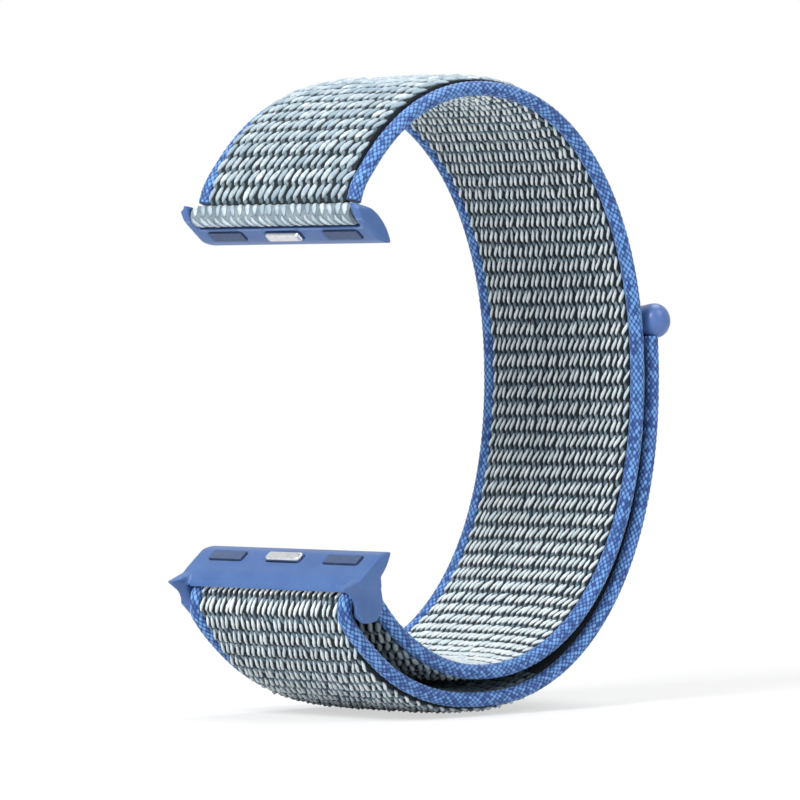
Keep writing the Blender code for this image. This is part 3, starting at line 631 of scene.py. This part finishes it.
def copies_in_rows(piece, columns, rows, across, along):
    """Repeats a small piece, and gives each point's column, row and place within its own copy."""
    each = len(piece.data.vertices)
    for count, step in ((columns, (across, 0.0, 0.0)), (rows, (0.0, along, 0.0))):
        array = piece.modifiers.new("rows", "ARRAY")
        array.count = count
        array.use_relative_offset = False
        array.use_constant_offset = True
        array.constant_offset_displace = step
    apply_all(piece)
    points = points_of(piece)
    copy = np.arange(len(points)) // each
    column, row = copy % columns, copy // columns
    points[:, 0] -= column * across
    points[:, 1] -= row * along
    return copy, column, row, points


def number_points(piece, name, values):
    attribute = piece.data.attributes.new(name, "FLOAT", "POINT")
    attribute.data.foreach_set("value", np.clip(values, 0.0, 1.0).astype(np.float32))


def stitches(name, kind, start, end, half_width, material, seed, lean_sign):
    """Rows of stitches, still flat: returns the piece, and each point's x, run and height in its stitch."""
    first_row = math.ceil(start / kind["along"] - kind["start"])
    rows = math.ceil(end / kind["along"] - kind["start"]) - first_row
    columns = round(2 * half_width / kind["across"])
    across = 2 * half_width / columns
    bpy.ops.object.select_all(action="DESELECT")
    bpy.ops.mesh.primitive_uv_sphere_add(
        segments=STITCH_SEGMENTS, ring_count=STITCH_RINGS, radius=0.5, rotation=(math.pi / 2, 0.0, 0.0))
    cloth = named(name)
    bpy.ops.object.transform_apply(location=False, rotation=True, scale=False)
    edit(cloth, (bpy.ops.transform.resize, {"value": (kind["width"], kind["length"], kind["height"])}))
    copy, column, row, local = copies_in_rows(cloth, columns, rows, across, kind["along"])

    chance = np.random.default_rng(seed).normal(size=(columns * rows, 6)).clip(-2.0, 2.0)[copy]
    along = local[:, 1] / kind["length"]
    sunk = kind["sink"] * along ** 2
    # The rise is low near the ground, at the sunk ends and along the tilt; the finish paints those parts dark
    # as painted shade.
    number_points(cloth, "rise", 0.5 + local[:, 2] / kind["height"] - sunk - kind["tilt"] * along)
    number_points(cloth, "yarn", 0.5 + SHADE_SPREAD * chance[:, 5])
    leg = np.where(column % 2, 1.0, -1.0)
    width = local[:, 0] * (1.0 + WIDTH_SPREAD * chance[:, 0]) + kind["curl"] * np.sin(math.tau * along)
    height = local[:, 2] * (1.0 + HEIGHT_SPREAD * chance[:, 1])
    height = height - kind["height"] * (sunk + 0.5 * kind["tilt"] * along)
    angle = np.radians(kind["lean"] + LEAN_SPREAD * chance[:, 2]) * lean_sign
    x = width * np.cos(angle) - local[:, 1] * np.sin(angle)
    y = width * np.sin(angle) + local[:, 1] * np.cos(angle)
    x += (column - (columns - 1) / 2 + kind["shift"] * ((row + first_row) % 2 - 0.5)) * across
    x += leg * kind["pair"] + NUDGE_ACROSS * chance[:, 4]
    runs = (row + first_row + kind["start"]) * kind["along"] + NUDGE_ALONG * chance[:, 3] + y
    cloth.data.materials.append(material)
    smooth(cloth)
    return cloth, x, runs, height


def stitched_face(name, kind, start, end, left_side, material, seed):
    """Stitches laid on the left or the right face of the strap."""
    cloth, x, runs, height = stitches(
        name, kind, start, end, STITCH_HALF_WIDTH, material, seed, -1.0 if left_side else 1.0)
    if not left_side:
        edit(cloth, (bpy.ops.mesh.flip_normals, {}))
    runs = np.clip(runs, -SLEEVE_TUCK, RUNS[-1])
    set_points(cloth, np.stack([x, runs, height], axis=1))
    height += face_height(x, runs, left_side) - GROUND_DEPTH
    lay_on_line(cloth, height if left_side else -height)
    print(f"{name}: {triangles(cloth)} triangles")
    return cloth


# %% [markdown]
# ## The braided edges
# A round braid covers each edge. Its yarns cross over and under each other in two directions, and
# this is real relief here. A short open tube is repeated along the line by an Array that merges,
# its ends are closed, and then every point moves in or out with the yarn that is on top there.
# Each crossing also gets a tone of its own, from a seeded table, and the low places between
# crossings are painted dark, as painted shade.

# %% Braid an edge cord
CORD_SIDES = 56
CORD_STEP = 0.10 * MM
BRAID_YARNS, BRAID_PITCH, BRAID_RELIEF = 9, 0.76 * MM, 0.11 * MM
BRAID_SEED, BRAID_ROUNDS, BRAID_MIDDLE = 7, 64, 0.6
DIP_SHARE, DOME_SHARE = 0.3, 0.7
SHADE_POWER, DARKEST_SHARE, CHANCE_SHARE = 1.8, 0.20, 0.80


def braid_relief(one_way, other_way):
    """A braid's height and shade, both 0 to 1, from the two yarn counts that run across each other; the shade
    is painted shade that falls with the height, times each crossing's own tone.
    """
    one, other = np.round(one_way), np.round(other_way)
    one_on_top = (one + other) % 2 == 0
    across = np.where(one_on_top, one_way - one, other_way - other) * 2.0
    along = np.where(one_on_top, other_way - other, one_way - one) * 2.0
    dome = np.sqrt(np.clip(1.0 - across ** 2, 0.0, 1.0))
    chance = np.random.default_rng(BRAID_SEED).random((BRAID_ROUNDS, BRAID_YARNS))
    chance = chance[(one - other).astype(int) % BRAID_ROUNDS, one.astype(int) % BRAID_YARNS]
    relief = dome * (DIP_SHARE + DOME_SHARE * np.sqrt(np.clip(1.0 - along ** 2, 0.0, 1.0)))
    # Painted shade: the shade falls with the relief, so the gaps between crossings turn dark; each crossing's
    # own tone scales it.
    return relief, relief ** SHADE_POWER * (DARKEST_SHARE + CHANCE_SHARE * chance)


def braided_cord(name, start, end, side, material):
    rings = max(2, round((end - start) / CORD_STEP))
    step = (end - start) / rings
    bpy.ops.object.select_all(action="DESELECT")
    bpy.ops.mesh.primitive_cylinder_add(
        vertices=CORD_SIDES, radius=CORD_RADIUS, depth=step, end_fill_type="NOTHING",
        rotation=(math.pi / 2, 0.0, 0.0))
    cord = named(name)
    bpy.ops.object.transform_apply(location=False, rotation=True, scale=False)
    edit(cord, (bpy.ops.transform.translate, {"value": (0.0, start + step / 2, 0.0)}))
    array = cord.modifiers.new("length", "ARRAY")
    array.count = rings
    array.use_relative_offset = False
    array.use_constant_offset = True
    array.constant_offset_displace = (0.0, step, 0.0)
    array.use_merge_vertices = True
    array.merge_threshold = step / 10
    apply_all(cord)
    edit(cord, (bpy.ops.mesh.fill_holes, {"sides": 0}),
         (bpy.ops.mesh.normals_make_consistent, {"inside": False}))

    points = points_of(cord)
    around = np.arctan2(points[:, 2], points[:, 0])
    turns, onward = around / math.tau * BRAID_YARNS, points[:, 1] / BRAID_PITCH
    relief, shade = braid_relief(turns + onward, turns - onward)
    # The cord's "yarn" number holds painted shade from the relief, times each crossing's own tone.
    number_points(cord, "yarn", shade)
    points[:, 0] += BRAID_RELIEF * (relief - BRAID_MIDDLE) * np.cos(around) + side * CORD_PLACE
    points[:, 2] += BRAID_RELIEF * (relief - BRAID_MIDDLE) * np.sin(around)
    set_points(cord, points)
    lay_on_line(cord, points[:, 2])
    cord.data.materials.append(material)
    smooth(cord)
    print(f"{name}: {triangles(cord)} triangles")
    return cord


def cord_finish():
    material, tree, shader = finish("Braided edge", roughness=0.6)
    cloud = mottled(tree, opaque((0.10, 0.26, 0.57)), opaque((0.185, 0.38, 0.74)), scale=2600.0)
    # Where the cord's "yarn" number is low, the braid is painted dark blue: painted shade in the gaps between
    # crossings.
    painted_shade_mask = effect(tree, PAINTED_SHADE_RAMP, Height=number_of(tree, "yarn"), From=0.08, To=0.62)
    shade = mix_colour(tree, painted_shade_mask.outputs["Mask"], opaque((0.012, 0.045, 0.19)), cloud.outputs["Color"])
    tree.links.new(shade, shader.inputs["Base Color"])
    bump(tree, shader, cloud.outputs["Mask"], strength=0.4, distance=0.03 * MM)
    shader.inputs["Sheen Weight"].default_value = 0.1
    shader.inputs["Specular IOR Level"].default_value = 0.35
    return material


CORD_FINISH = cord_finish()

# %% [markdown]
# ## The hooks
# Under the tail sits a tape of tiny hooks that grips the soft face of the band. One hook is a thin
# square peg, whose top is extruded twice and bent over. The rows stand about a millimetre apart,
# and every second hook faces the other way.

# %% Make a field of hooks
HOOK_HALF_WIDTH = 8.5 * MM
HOOK_PITCH = 0.95 * MM
HOOK_ROOT_DEPTH = 0.42 * MM
PEG_RADIUS, PEG_LENGTH, HOOK_BEND = 0.11 * MM, 0.24 * MM, 0.12 * MM
PEG_TOP_SHARE = 0.9


def hook_field(name, start, end, material):
    columns = round(2 * HOOK_HALF_WIDTH / HOOK_PITCH)
    rows = int((end - start) / HOOK_PITCH)
    bpy.ops.object.select_all(action="DESELECT")
    bpy.ops.mesh.primitive_cylinder_add(vertices=4, radius=PEG_RADIUS, depth=PEG_LENGTH)
    field = named(name)
    edit(field, (bpy.ops.transform.translate, {"value": (0.0, 0.0, PEG_LENGTH / 2)}))
    for rise, reach in ((HOOK_BEND, HOOK_BEND), (-HOOK_BEND / 2, HOOK_BEND)):
        tops = [face for face in field.data.polygons
                if face.center.z > PEG_LENGTH * PEG_TOP_SHARE and len(face.vertices) == 4]
        best = max(tops, key=lambda face: face.center.y + face.normal.z + face.normal.y)
        for face in field.data.polygons:
            face.select = face.index == best.index
        select_only(field)
        bpy.ops.object.mode_set(mode="EDIT")
        bpy.ops.mesh.extrude_region_move(TRANSFORM_OT_translate={"value": (0.0, reach, rise)})
        bpy.ops.object.mode_set(mode="OBJECT")
    _, column, row, local = copies_in_rows(field, columns, rows, HOOK_PITCH, HOOK_PITCH)
    way = np.where((column + row) % 2, 1.0, -1.0)
    x = local[:, 0] * way + (column - (columns - 1) / 2) * HOOK_PITCH
    runs = local[:, 1] * way + start + (row + 0.5) * (end - start) / rows
    set_points(field, np.stack([x, runs, local[:, 2]], axis=1))
    lay_on_line(field, half_thickness(runs) - HOOK_ROOT_DEPTH + local[:, 2])
    field.data.materials.append(material)
    print(f"{name}: {columns} x {rows} hooks, {triangles(field)} triangles")
    return field


# %% [markdown]
# ## Cut the strap where it bends
# The mechanical model bends at a few lines across the strap. Each piece of cloth here reaches from
# the middle of one stiff part to the middle of the next, and bends smoothly over the line between.

# %% Lay out the stretches
CROWN_MIDDLE = (FRONT_FLEX + CROWN_FLEX) / 2
ROOT_START = TURN_END + TAPER_LENGTH
CORD_END = STRAP_END + 0.6 * MM
LINING_SEED, FACE_SEED, TROUGH_SEED, SLEEVE_SEED = 20, 40, 60, 80
STRETCHES = [
    ("front", -SLEEVE_TUCK, CROWN_MIDDLE, FRONT_FLEX, "band_front", "band_crown", ("front",)),
    ("back", CROWN_MIDDLE, TURN_START, CROWN_FLEX, "band_crown", "band_back", ("crown", "back")),
    ("turn", TURN_START, ROOT_START, None, "band_back", None, ("turn",)),
    ("tail_0", ROOT_START, PEEL_START + PEEL_LENGTH / 2, PEEL_START, "band_back", "tail_1",
     ("tail_root", "tail_1")),
]
for index in range(1, PEEL_JOINTS):
    bend = PEEL_START + PEEL_LENGTH * index
    end = RUNS[-1] if index == PEEL_JOINTS - 1 else bend + PEEL_LENGTH / 2
    bodies = (f"tail_{index}", f"tail_{index + 1}")
    STRETCHES.append((f"tail_{index}", bend - PEEL_LENGTH / 2, end, bend, *bodies, (f"tail_{index + 1}",)))


def fasten(piece, stretch, slot, *endings):
    """A piece over a bend line keeps its place, a piece without one rides on its one body, and either
    replaces the solids there.
    """
    _, start, end, bend, body, next_body, prefixes = stretch
    if bend is None:
        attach(piece, body)
    else:
        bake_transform(piece)
    nodes = [f"{prefix}_{ending}" for prefix in prefixes for ending in endings]
    nodes = [node_name for node_name in nodes if node_name in NODES]
    if nodes:
        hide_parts(*nodes)
    return nodes


DRESSED = []
for order, stretch in enumerate(STRETCHES):
    name, start, end = stretch[:3]
    # The ground slab is painted near black: painted shade in the gaps between stitches.
    slab = slab_on_line(f"{name}_ground_cloth", start, end, GROUND_HALF_WIDTH, ground_heights, SHADED_GROUND)
    DRESSED += fasten(slab, stretch, "weave", "outer_weave", "inner_lining", "weave")
    lining = stitched_face(
        f"{name}_lining_stitches", LINING_STITCH, start, end, False, LINING_YARN, LINING_SEED + order)
    fasten(lining, stretch, "lining")
    trough = stitched_face(
        f"{name}_trough_stitches", TROUGH_STITCH, start, end, False, TROUGH_YARN, TROUGH_SEED + order)
    fasten(trough, stretch, "lining")
    face_start, face_end = start, min(end, PEEL_START)
    if name == "turn":
        face_start = TURN_END
    layers = ((FACE_STITCH, FACE_YARN, "face"), (LOW_STITCH, LOW_YARN, "low"))
    if start > TURN_START - CLEARANCE:
        # The tail's side that faces the band gets the darker low yarn: painted shade for the gap between tail
        # and band.
        layers = ((LINING_STITCH, LOW_YARN, "inside"),)
    if face_start < face_end:
        for kind, yarn, word in layers:
            face = stitched_face(
                f"{name}_{word}_stitches", kind, face_start, face_end, True, yarn, FACE_SEED + order)
            fasten(face, stretch, "weave")
    for word, side in (("left", -1.0), ("right", 1.0)):
        cord = braided_cord(
            f"{name}_braided_edge_{word}", max(start, 0.0), min(end, CORD_END), side, CORD_FINISH)
        DRESSED += fasten(cord, stretch, "cord", f"edge_cord_{word}")
    if end > PEEL_START:
        hook_start, hook_end = max(start, PEEL_START), min(end, STRAP_END)
        hooks = hook_field(f"{name}_hooks", hook_start, hook_end, HOOK_TAPE)
        DRESSED += fasten(hooks, stretch, "hook", "hook_patch")
print("dressed", len(DRESSED), "plain solids in", len(STRETCHES), "stretches")

# %% [markdown]
# ## The sleeve round the pin
# The strap's end is wrapped round the pin and sewn down. The sleeve keeps its mechanical shape in a
# plain grey cloth, and the same stitches as on the face are rolled round it.

# %% Roll stitches round the sleeve
SLEEVE_RADIUS = 1.05 * MM
SLEEVE_OPEN = 0.9 * MM
SLEEVE_HALF_WIDTH = BAND_WIDTH / 2 - 0.1 * MM
SLEEVE_RELIEF_SHARE = 0.5
rolled, x, arc, height = stitches(
    "sleeve_stitches", FACE_STITCH, 0.0, math.tau * SLEEVE_RADIUS - SLEEVE_OPEN, SLEEVE_HALF_WIDTH,
    FACE_YARN, SLEEVE_SEED, -1.0)
way_out = math.atan2(away[1], away[0])
spin = way_out + (arc + SLEEVE_OPEN / 2) / SLEEVE_RADIUS
reach = SLEEVE_RADIUS + height * SLEEVE_RELIEF_SHARE
y, z = PIN_CENTRE[0] + reach * np.cos(spin), PIN_CENTRE[1] + reach * np.sin(spin)
set_points(rolled, np.stack([x, y, z], axis=1) - BOX_MIDDLE)
edit(rolled, (bpy.ops.mesh.normals_make_consistent, {"inside": False}))
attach(rolled, "band_front")

# %% [markdown]
# ## Satin plastic
# The lugs and the pull tab are moulded nylon with a satin skin: a broad soft highlight, faint
# mottling, and edges painted a little lighter. The lighter edges come from how pointed the surface
# is at each place, so they follow every real edge.

# %% Satin finish
def satin_finish(name, dark, light, edge_colour, roughness):
    material, tree, shader = finish(name, roughness)
    cloud = mottled(tree, opaque(dark), opaque(light), scale=260.0)
    # Edges painted a little lighter where the surface is pointed.
    lighter_edge = effect(tree, LIGHTER_EDGE, Base=cloud.outputs["Color"], Worn=opaque(edge_colour), From=0.53, To=0.64)
    tree.links.new(lighter_edge.outputs["Color"], shader.inputs["Base Color"])
    grain = effect(tree, GRAIN, Scale=9000.0)
    bump(tree, shader, grain.outputs["Height"], strength=0.12, distance=0.02 * MM)
    shader.inputs["Specular IOR Level"].default_value = 0.45
    return material


LUG_FINISH = satin_finish(
    "Satin lug", dark=(0.040, 0.100, 0.275), light=(0.058, 0.130, 0.32), edge_colour=(0.10, 0.19, 0.41),
    roughness=0.45)
TAB_FINISH = satin_finish(
    "Satin tab", dark=(0.057, 0.125, 0.33), light=(0.078, 0.150, 0.38), edge_colour=(0.12, 0.21, 0.45),
    roughness=0.33)

# %% [markdown]
# ## The lugs
# A moulded lug has no sharp edge anywhere. The mechanical lug is exact but crisp, so a copy of it is
# skinned again with small even faces and smoothed, which rounds every edge as a mould does. On the
# lower lug, two cones first hollow the ears' front edges, where the strap's turn shows, and a cut
# takes their lower front corners off.

# %% Mould a lug from its mechanical shape
SKIN_STEP, SKIN_SOFTENING, SKIN_ROUNDS = 0.1, 0.5, 40
WELD_REACH, HOLLOW_OVERRUN = 0.002 * MM, 0.4 * MM
HOLLOW_PLACE = np.array([-23.35 * MM, -22.9 * MM])
HOLLOW_RADIUS, HOLLOW_SLOPE = 1.75 * MM, 0.80
EAR_INNER, LUG_HALF_LENGTH = 11.3 * MM, 12.4 * MM
CORNER_PLACE, CORNER_WAY = np.array([-21.15 * MM, -23.1 * MM]), (-0.62, -0.78)


def ear_hollow(side):
    """A cone through one ear, narrow on the outside, so that the ear's front edge slants inwards."""
    near, far = EAR_INNER - HOLLOW_OVERRUN, LUG_HALF_LENGTH + HOLLOW_OVERRUN
    wide = HOLLOW_RADIUS + (LUG_HALF_LENGTH - near) * HOLLOW_SLOPE
    slim = HOLLOW_RADIUS - (far - LUG_HALF_LENGTH) * HOLLOW_SLOPE
    y, z = HOLLOW_PLACE - BOX_MIDDLE[1:]
    bpy.ops.object.select_all(action="DESELECT")
    bpy.ops.mesh.primitive_cone_add(
        vertices=64, radius1=wide, radius2=slim, depth=far - near,
        location=(side * (near + far) / 2, y, z), rotation=(0.0, side * math.pi / 2, 0.0))
    return named("ear_hollow")


def moulded_lug(node_name, name, with_ears):
    source = NODES[node_name]
    bpy.ops.object.select_all(action="DESELECT")
    lug = source.copy()
    lug.data = source.data.copy()
    for key in list(lug.keys()):
        del lug[key]
    lug.parent = None
    bpy.context.scene.collection.objects.link(lug)
    lug.name = lug.data.name = name
    edit(lug, (bpy.ops.mesh.remove_doubles, {"threshold": WELD_REACH}))
    if with_ears:
        corner = (0.0, *(CORNER_PLACE - BOX_MIDDLE[1:]))
        edit(lug, (bpy.ops.mesh.bisect, {
            "plane_co": corner, "plane_no": (0.0, *CORNER_WAY), "use_fill": True, "clear_outer": True}))
        for side in (-1.0, 1.0):
            hollow = ear_hollow(side)
            cut = lug.modifiers.new("hollow", "BOOLEAN")
            cut.object, cut.operation, cut.solver = hollow, "DIFFERENCE", "EXACT"
            apply_all(lug)
            bpy.data.objects.remove(hollow)
    middle = (0.0, 0.0, 0.0)
    edit(lug, (bpy.ops.transform.resize, {"value": (1 / MM, 1 / MM, 1 / MM), "center_override": middle}))
    skin = lug.modifiers.new("skin", "REMESH")
    skin.mode, skin.voxel_size = "VOXEL", SKIN_STEP
    soft = lug.modifiers.new("soften", "SMOOTH")
    soft.factor, soft.iterations = SKIN_SOFTENING, SKIN_ROUNDS
    apply_all(lug)
    edit(lug, (bpy.ops.transform.resize, {"value": (MM, MM, MM), "center_override": middle}))
    lug.data.materials.clear()
    lug.data.materials.append(LUG_FINISH)
    smooth(lug)
    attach(lug, source["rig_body"])
    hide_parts(node_name)
    print(f"{name}: {triangles(lug)} triangles")


moulded_lug("upper_lug_body", "upper_lug", False)
moulded_lug("lower_lug_body", "lower_lug", True)

# %% [markdown]
# ## The pull tab
# The tail ends in a smooth bar with a ball at each end. It starts as one sphere, parted in the
# middle. On each half the outer rings of points round off a ball, and the inner ones run back along
# a neck, which slims to the bar. The faces between the two halves stretch into the bar itself.

# %% Mould the pull tab
TAB_OUTWARD, TAB_ASIDE = -0.28 * MM, 0.6 * MM
TAB_RINGS, NECK_TURN, NECK_REACH, NECK_SHARE = 16, -40.0, 1.9 * MM, 0.87
BALL_SHARE, SMALLEST = 0.95, 1e-9
bpy.ops.object.select_all(action="DESELECT")
bpy.ops.mesh.primitive_uv_sphere_add(segments=48, ring_count=32, radius=0.5, rotation=(0.0, math.pi / 2, 0.0))
tab = named("pull_tab")
bpy.ops.object.transform_apply(location=False, rotation=True, scale=False)
points = points_of(tab)
ring = np.round(np.degrees(np.arcsin(np.clip(2.0 * points[:, 0], -1.0, 1.0))) / 90.0 * TAB_RINGS)
outness = np.clip((np.abs(ring) - 1.0) / (TAB_RINGS - 1.0), 0.0, 1.0)
turn = np.radians(NECK_TURN + (90.0 - NECK_TURN) * outness)
end_radius = TAB_THICKNESS * BALL_SHARE / 2
ease = 0.5 + 0.5 * np.cos(math.pi * turn / math.radians(NECK_TURN))
thick = np.where(turn > 0.0, np.cos(turn), NECK_SHARE + (1.0 - NECK_SHARE) * ease)
out = np.where(turn > 0.0, end_radius * np.sin(turn), NECK_REACH * turn / math.radians(-NECK_TURN))
whole = np.linalg.norm(points[:, 1:], axis=1)
points[:, 0] = np.sign(ring) * (TAB_WIDTH / 2 + TAB_ASIDE - end_radius + out)
points[:, 1:] *= (thick / np.maximum(whole, SMALLEST))[:, None] / 2
points[:, 1:] *= (TAB_LENGTH, TAB_THICKNESS)
end_place, end_left = line_at([STRAP_END])
end_left = end_left[0]
end_onward = np.array([end_left[1], -end_left[0]])
middle = end_place[0] + end_onward * (TAB_LENGTH / 2 + CLEARANCE) - end_left * (TAB_LIFT + TAB_OUTWARD)
flat = points.copy()
points[:, 1:] = middle + end_onward * flat[:, 1:2] + end_left * flat[:, 2:3]
set_points(tab, points - BOX_MIDDLE)
tab.data.materials.append(TAB_FINISH)
smooth(tab)
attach(tab, "tail_4")
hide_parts("tail_tab")

# %% [markdown]
# ## Steel, pads and thread
# Small parts keep their mechanical shape and get a real finish.

# %% Finishes of the small parts
def plain_finish(name, dark, light, scale, roughness, metallic, strength):
    material, tree, shader = finish(name, roughness, metallic)
    cloud = mottled(tree, opaque(dark), opaque(light), scale)
    tree.links.new(cloud.outputs["Color"], shader.inputs["Base Color"])
    bump(tree, shader, cloud.outputs["Mask"], strength, distance=0.02 * MM)
    return material


STEEL = plain_finish(
    "Brushed steel", (0.52, 0.53, 0.55), (0.68, 0.69, 0.71), scale=3000.0, roughness=0.28, metallic=1.0,
    strength=0.05)
PAD = plain_finish(
    "Soft pad", (0.035, 0.06, 0.13), (0.055, 0.09, 0.18), scale=2000.0, roughness=0.7, metallic=0.0,
    strength=0.2)
THREAD = plain_finish(
    "Seam thread", (0.30, 0.39, 0.44), (0.50, 0.59, 0.64), scale=4000.0, roughness=0.8, metallic=0.0,
    strength=0.4)
for name, piece in NODES.items():
    if name in DRESSED or piece.hide_render:
        continue
    finishes = {"_pad_": PAD, "anchor_seam": THREAD, "anchor_sleeve": SLEEVE_CLOTH}
    material = next((made for word, made in finishes.items() if word in name), STEEL)
    piece.data.materials.clear()
    piece.data.materials.append(material)
    print(name, "->", material.name)

# %% [markdown]
# ## Light, floor and camera
# A plain white setting: a pale floor under the strap, large soft lamps, and a long lens, which
# keeps the two edges of the strap nearly parallel. The floor shows the strap's shadow close by, and
# further away it turns into plain white, as a sweep of paper does.

# %% Set the studio
scene = bpy.context.scene
scene.view_settings.view_transform = "Standard"
WORLD_GLOW, LAMP_DISTANCE = 0.27, 0.5
world = bpy.data.worlds.new("Studio")
scene.world = world
world.use_nodes = True
tree = world.node_tree
tree.nodes.clear()
path = node(tree, "ShaderNodeLightPath")
seen = math_node(tree, "MAXIMUM", path.outputs["Is Camera Ray"], path.outputs["Is Glossy Ray"])
seen = math_node(tree, "MAXIMUM", seen, path.outputs["Is Transmission Ray"])
soft = node(tree, "ShaderNodeBackground")
soft.inputs["Color"].default_value = (0.95, 0.97, 1.0, 1.0)
soft.inputs["Strength"].default_value = WORLD_GLOW
white = node(tree, "ShaderNodeBackground")
white.inputs["Color"].default_value = (1.0, 1.0, 1.0, 1.0)
choice = node(tree, "ShaderNodeMixShader")
tree.links.new(seen, choice.inputs["Fac"])
tree.links.new(soft.outputs[0], choice.inputs[1])
tree.links.new(white.outputs[0], choice.inputs[2])
leave = node(tree, "ShaderNodeOutputWorld")
tree.links.new(choice.outputs[0], leave.inputs["Surface"])

FLOOR_SIZE, FLOOR_GAP = 6.0, 0.15 * MM
FLOOR_NEAR, FLOOR_FAR, FLOOR_LEAST, FLOOR_MOST = 0.06, 0.20, 0.6, 1.0
bpy.ops.object.select_all(action="DESELECT")
bpy.ops.mesh.primitive_plane_add(size=FLOOR_SIZE, location=(0.0, 0.0, CAD_LOW[2] - FLOOR_GAP))
floor = named("floor")
bpy.ops.object.transform_apply(location=True, rotation=False, scale=False)
material, tree, shader = finish("Pale floor", 0.9)
shader.inputs["Base Color"].default_value = (0.90, 0.90, 0.90, 1.0)
where = node(tree, "ShaderNodeTexCoord")
distance = node(tree, "ShaderNodeVectorMath", operation="LENGTH")
tree.links.new(where.outputs["Object"], distance.inputs[0])
far = node(tree, "ShaderNodeMapRange", interpolation_type="SMOOTHSTEP")
for title, value in (("From Min", FLOOR_NEAR), ("From Max", FLOOR_FAR),
                     ("To Min", FLOOR_LEAST), ("To Max", FLOOR_MOST)):
    far.inputs[title].default_value = value
tree.links.new(distance.outputs["Value"], far.inputs["Value"])
path = node(tree, "ShaderNodeLightPath")
glow = node(tree, "ShaderNodeEmission")
choice = node(tree, "ShaderNodeMixShader")
brightness = math_node(tree, "MULTIPLY", path.outputs["Is Camera Ray"], far.outputs["Result"])
tree.links.new(brightness, choice.inputs["Fac"])
tree.links.new(shader.outputs[0], choice.inputs[1])
tree.links.new(glow.outputs[0], choice.inputs[2])
tree.links.new(choice.outputs[0], tree.nodes["Material Output"].inputs["Surface"])
floor.data.materials.append(material)


def soft_lamp(name, azimuth, elevation, size, power):
    lamp = bpy.data.lights.new(name, "AREA")
    lamp.shape, lamp.size, lamp.energy = "DISK", size, power
    holder = bpy.data.objects.new(name, lamp)
    scene.collection.objects.link(holder)
    a, e = math.radians(azimuth), math.radians(elevation)
    way = Vector((math.sin(a) * math.cos(e), -math.cos(a) * math.cos(e), math.sin(e)))
    holder.location = way * LAMP_DISTANCE
    holder.rotation_euler = holder.location.to_track_quat("Z", "Y").to_euler()


soft_lamp("key", azimuth=6.0, elevation=36.0, size=0.22, power=2.4)
soft_lamp("side", azimuth=95.0, elevation=44.0, size=0.30, power=0.85)
soft_lamp("front", azimuth=35.0, elevation=6.0, size=0.30, power=0.30)
soft_lamp("top", azimuth=200.0, elevation=68.0, size=0.30, power=1.15)

# %% [markdown]
# ## The camera
# It stands a little over half a metre away, near the height of the strap's middle and 42 degrees
# round to its side.

# %% Place the camera
CAMERA_AZIMUTH, CAMERA_ELEVATION = math.radians(42.3), math.radians(0.7)
CAMERA_DISTANCE, CAMERA_ASIDE = 556.0 * MM, 13.8 * MM
SENSOR, FOCAL_PIXELS, PICTURE_PIXELS = 36.0, 5532.0, 800.0
back = Vector((math.sin(CAMERA_AZIMUTH) * math.cos(CAMERA_ELEVATION),
               -math.cos(CAMERA_AZIMUTH) * math.cos(CAMERA_ELEVATION), math.sin(CAMERA_ELEVATION)))
aside = Vector((math.cos(CAMERA_AZIMUTH), math.sin(CAMERA_AZIMUTH), 0.0))
aim = Vector((0.0, -22.0 * MM, -1.9 * MM)) - Vector(BOX_MIDDLE)
eye = bpy.data.cameras.new("camera")
eye.sensor_width = SENSOR
eye.lens = SENSOR * FOCAL_PIXELS / PICTURE_PIXELS
eye.clip_start, eye.clip_end = 0.05, 20.0
camera = bpy.data.objects.new("camera", eye)
scene.collection.objects.link(camera)
camera.location = aim + aside * CAMERA_ASIDE + back * CAMERA_DISTANCE
camera.rotation_euler = back.to_track_quat("Z", "Y").to_euler()
scene.camera = camera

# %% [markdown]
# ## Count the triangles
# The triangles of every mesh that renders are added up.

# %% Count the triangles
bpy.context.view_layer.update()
total = sum(triangles(piece) for piece in scene.objects if piece.type == "MESH" and not piece.hide_render)
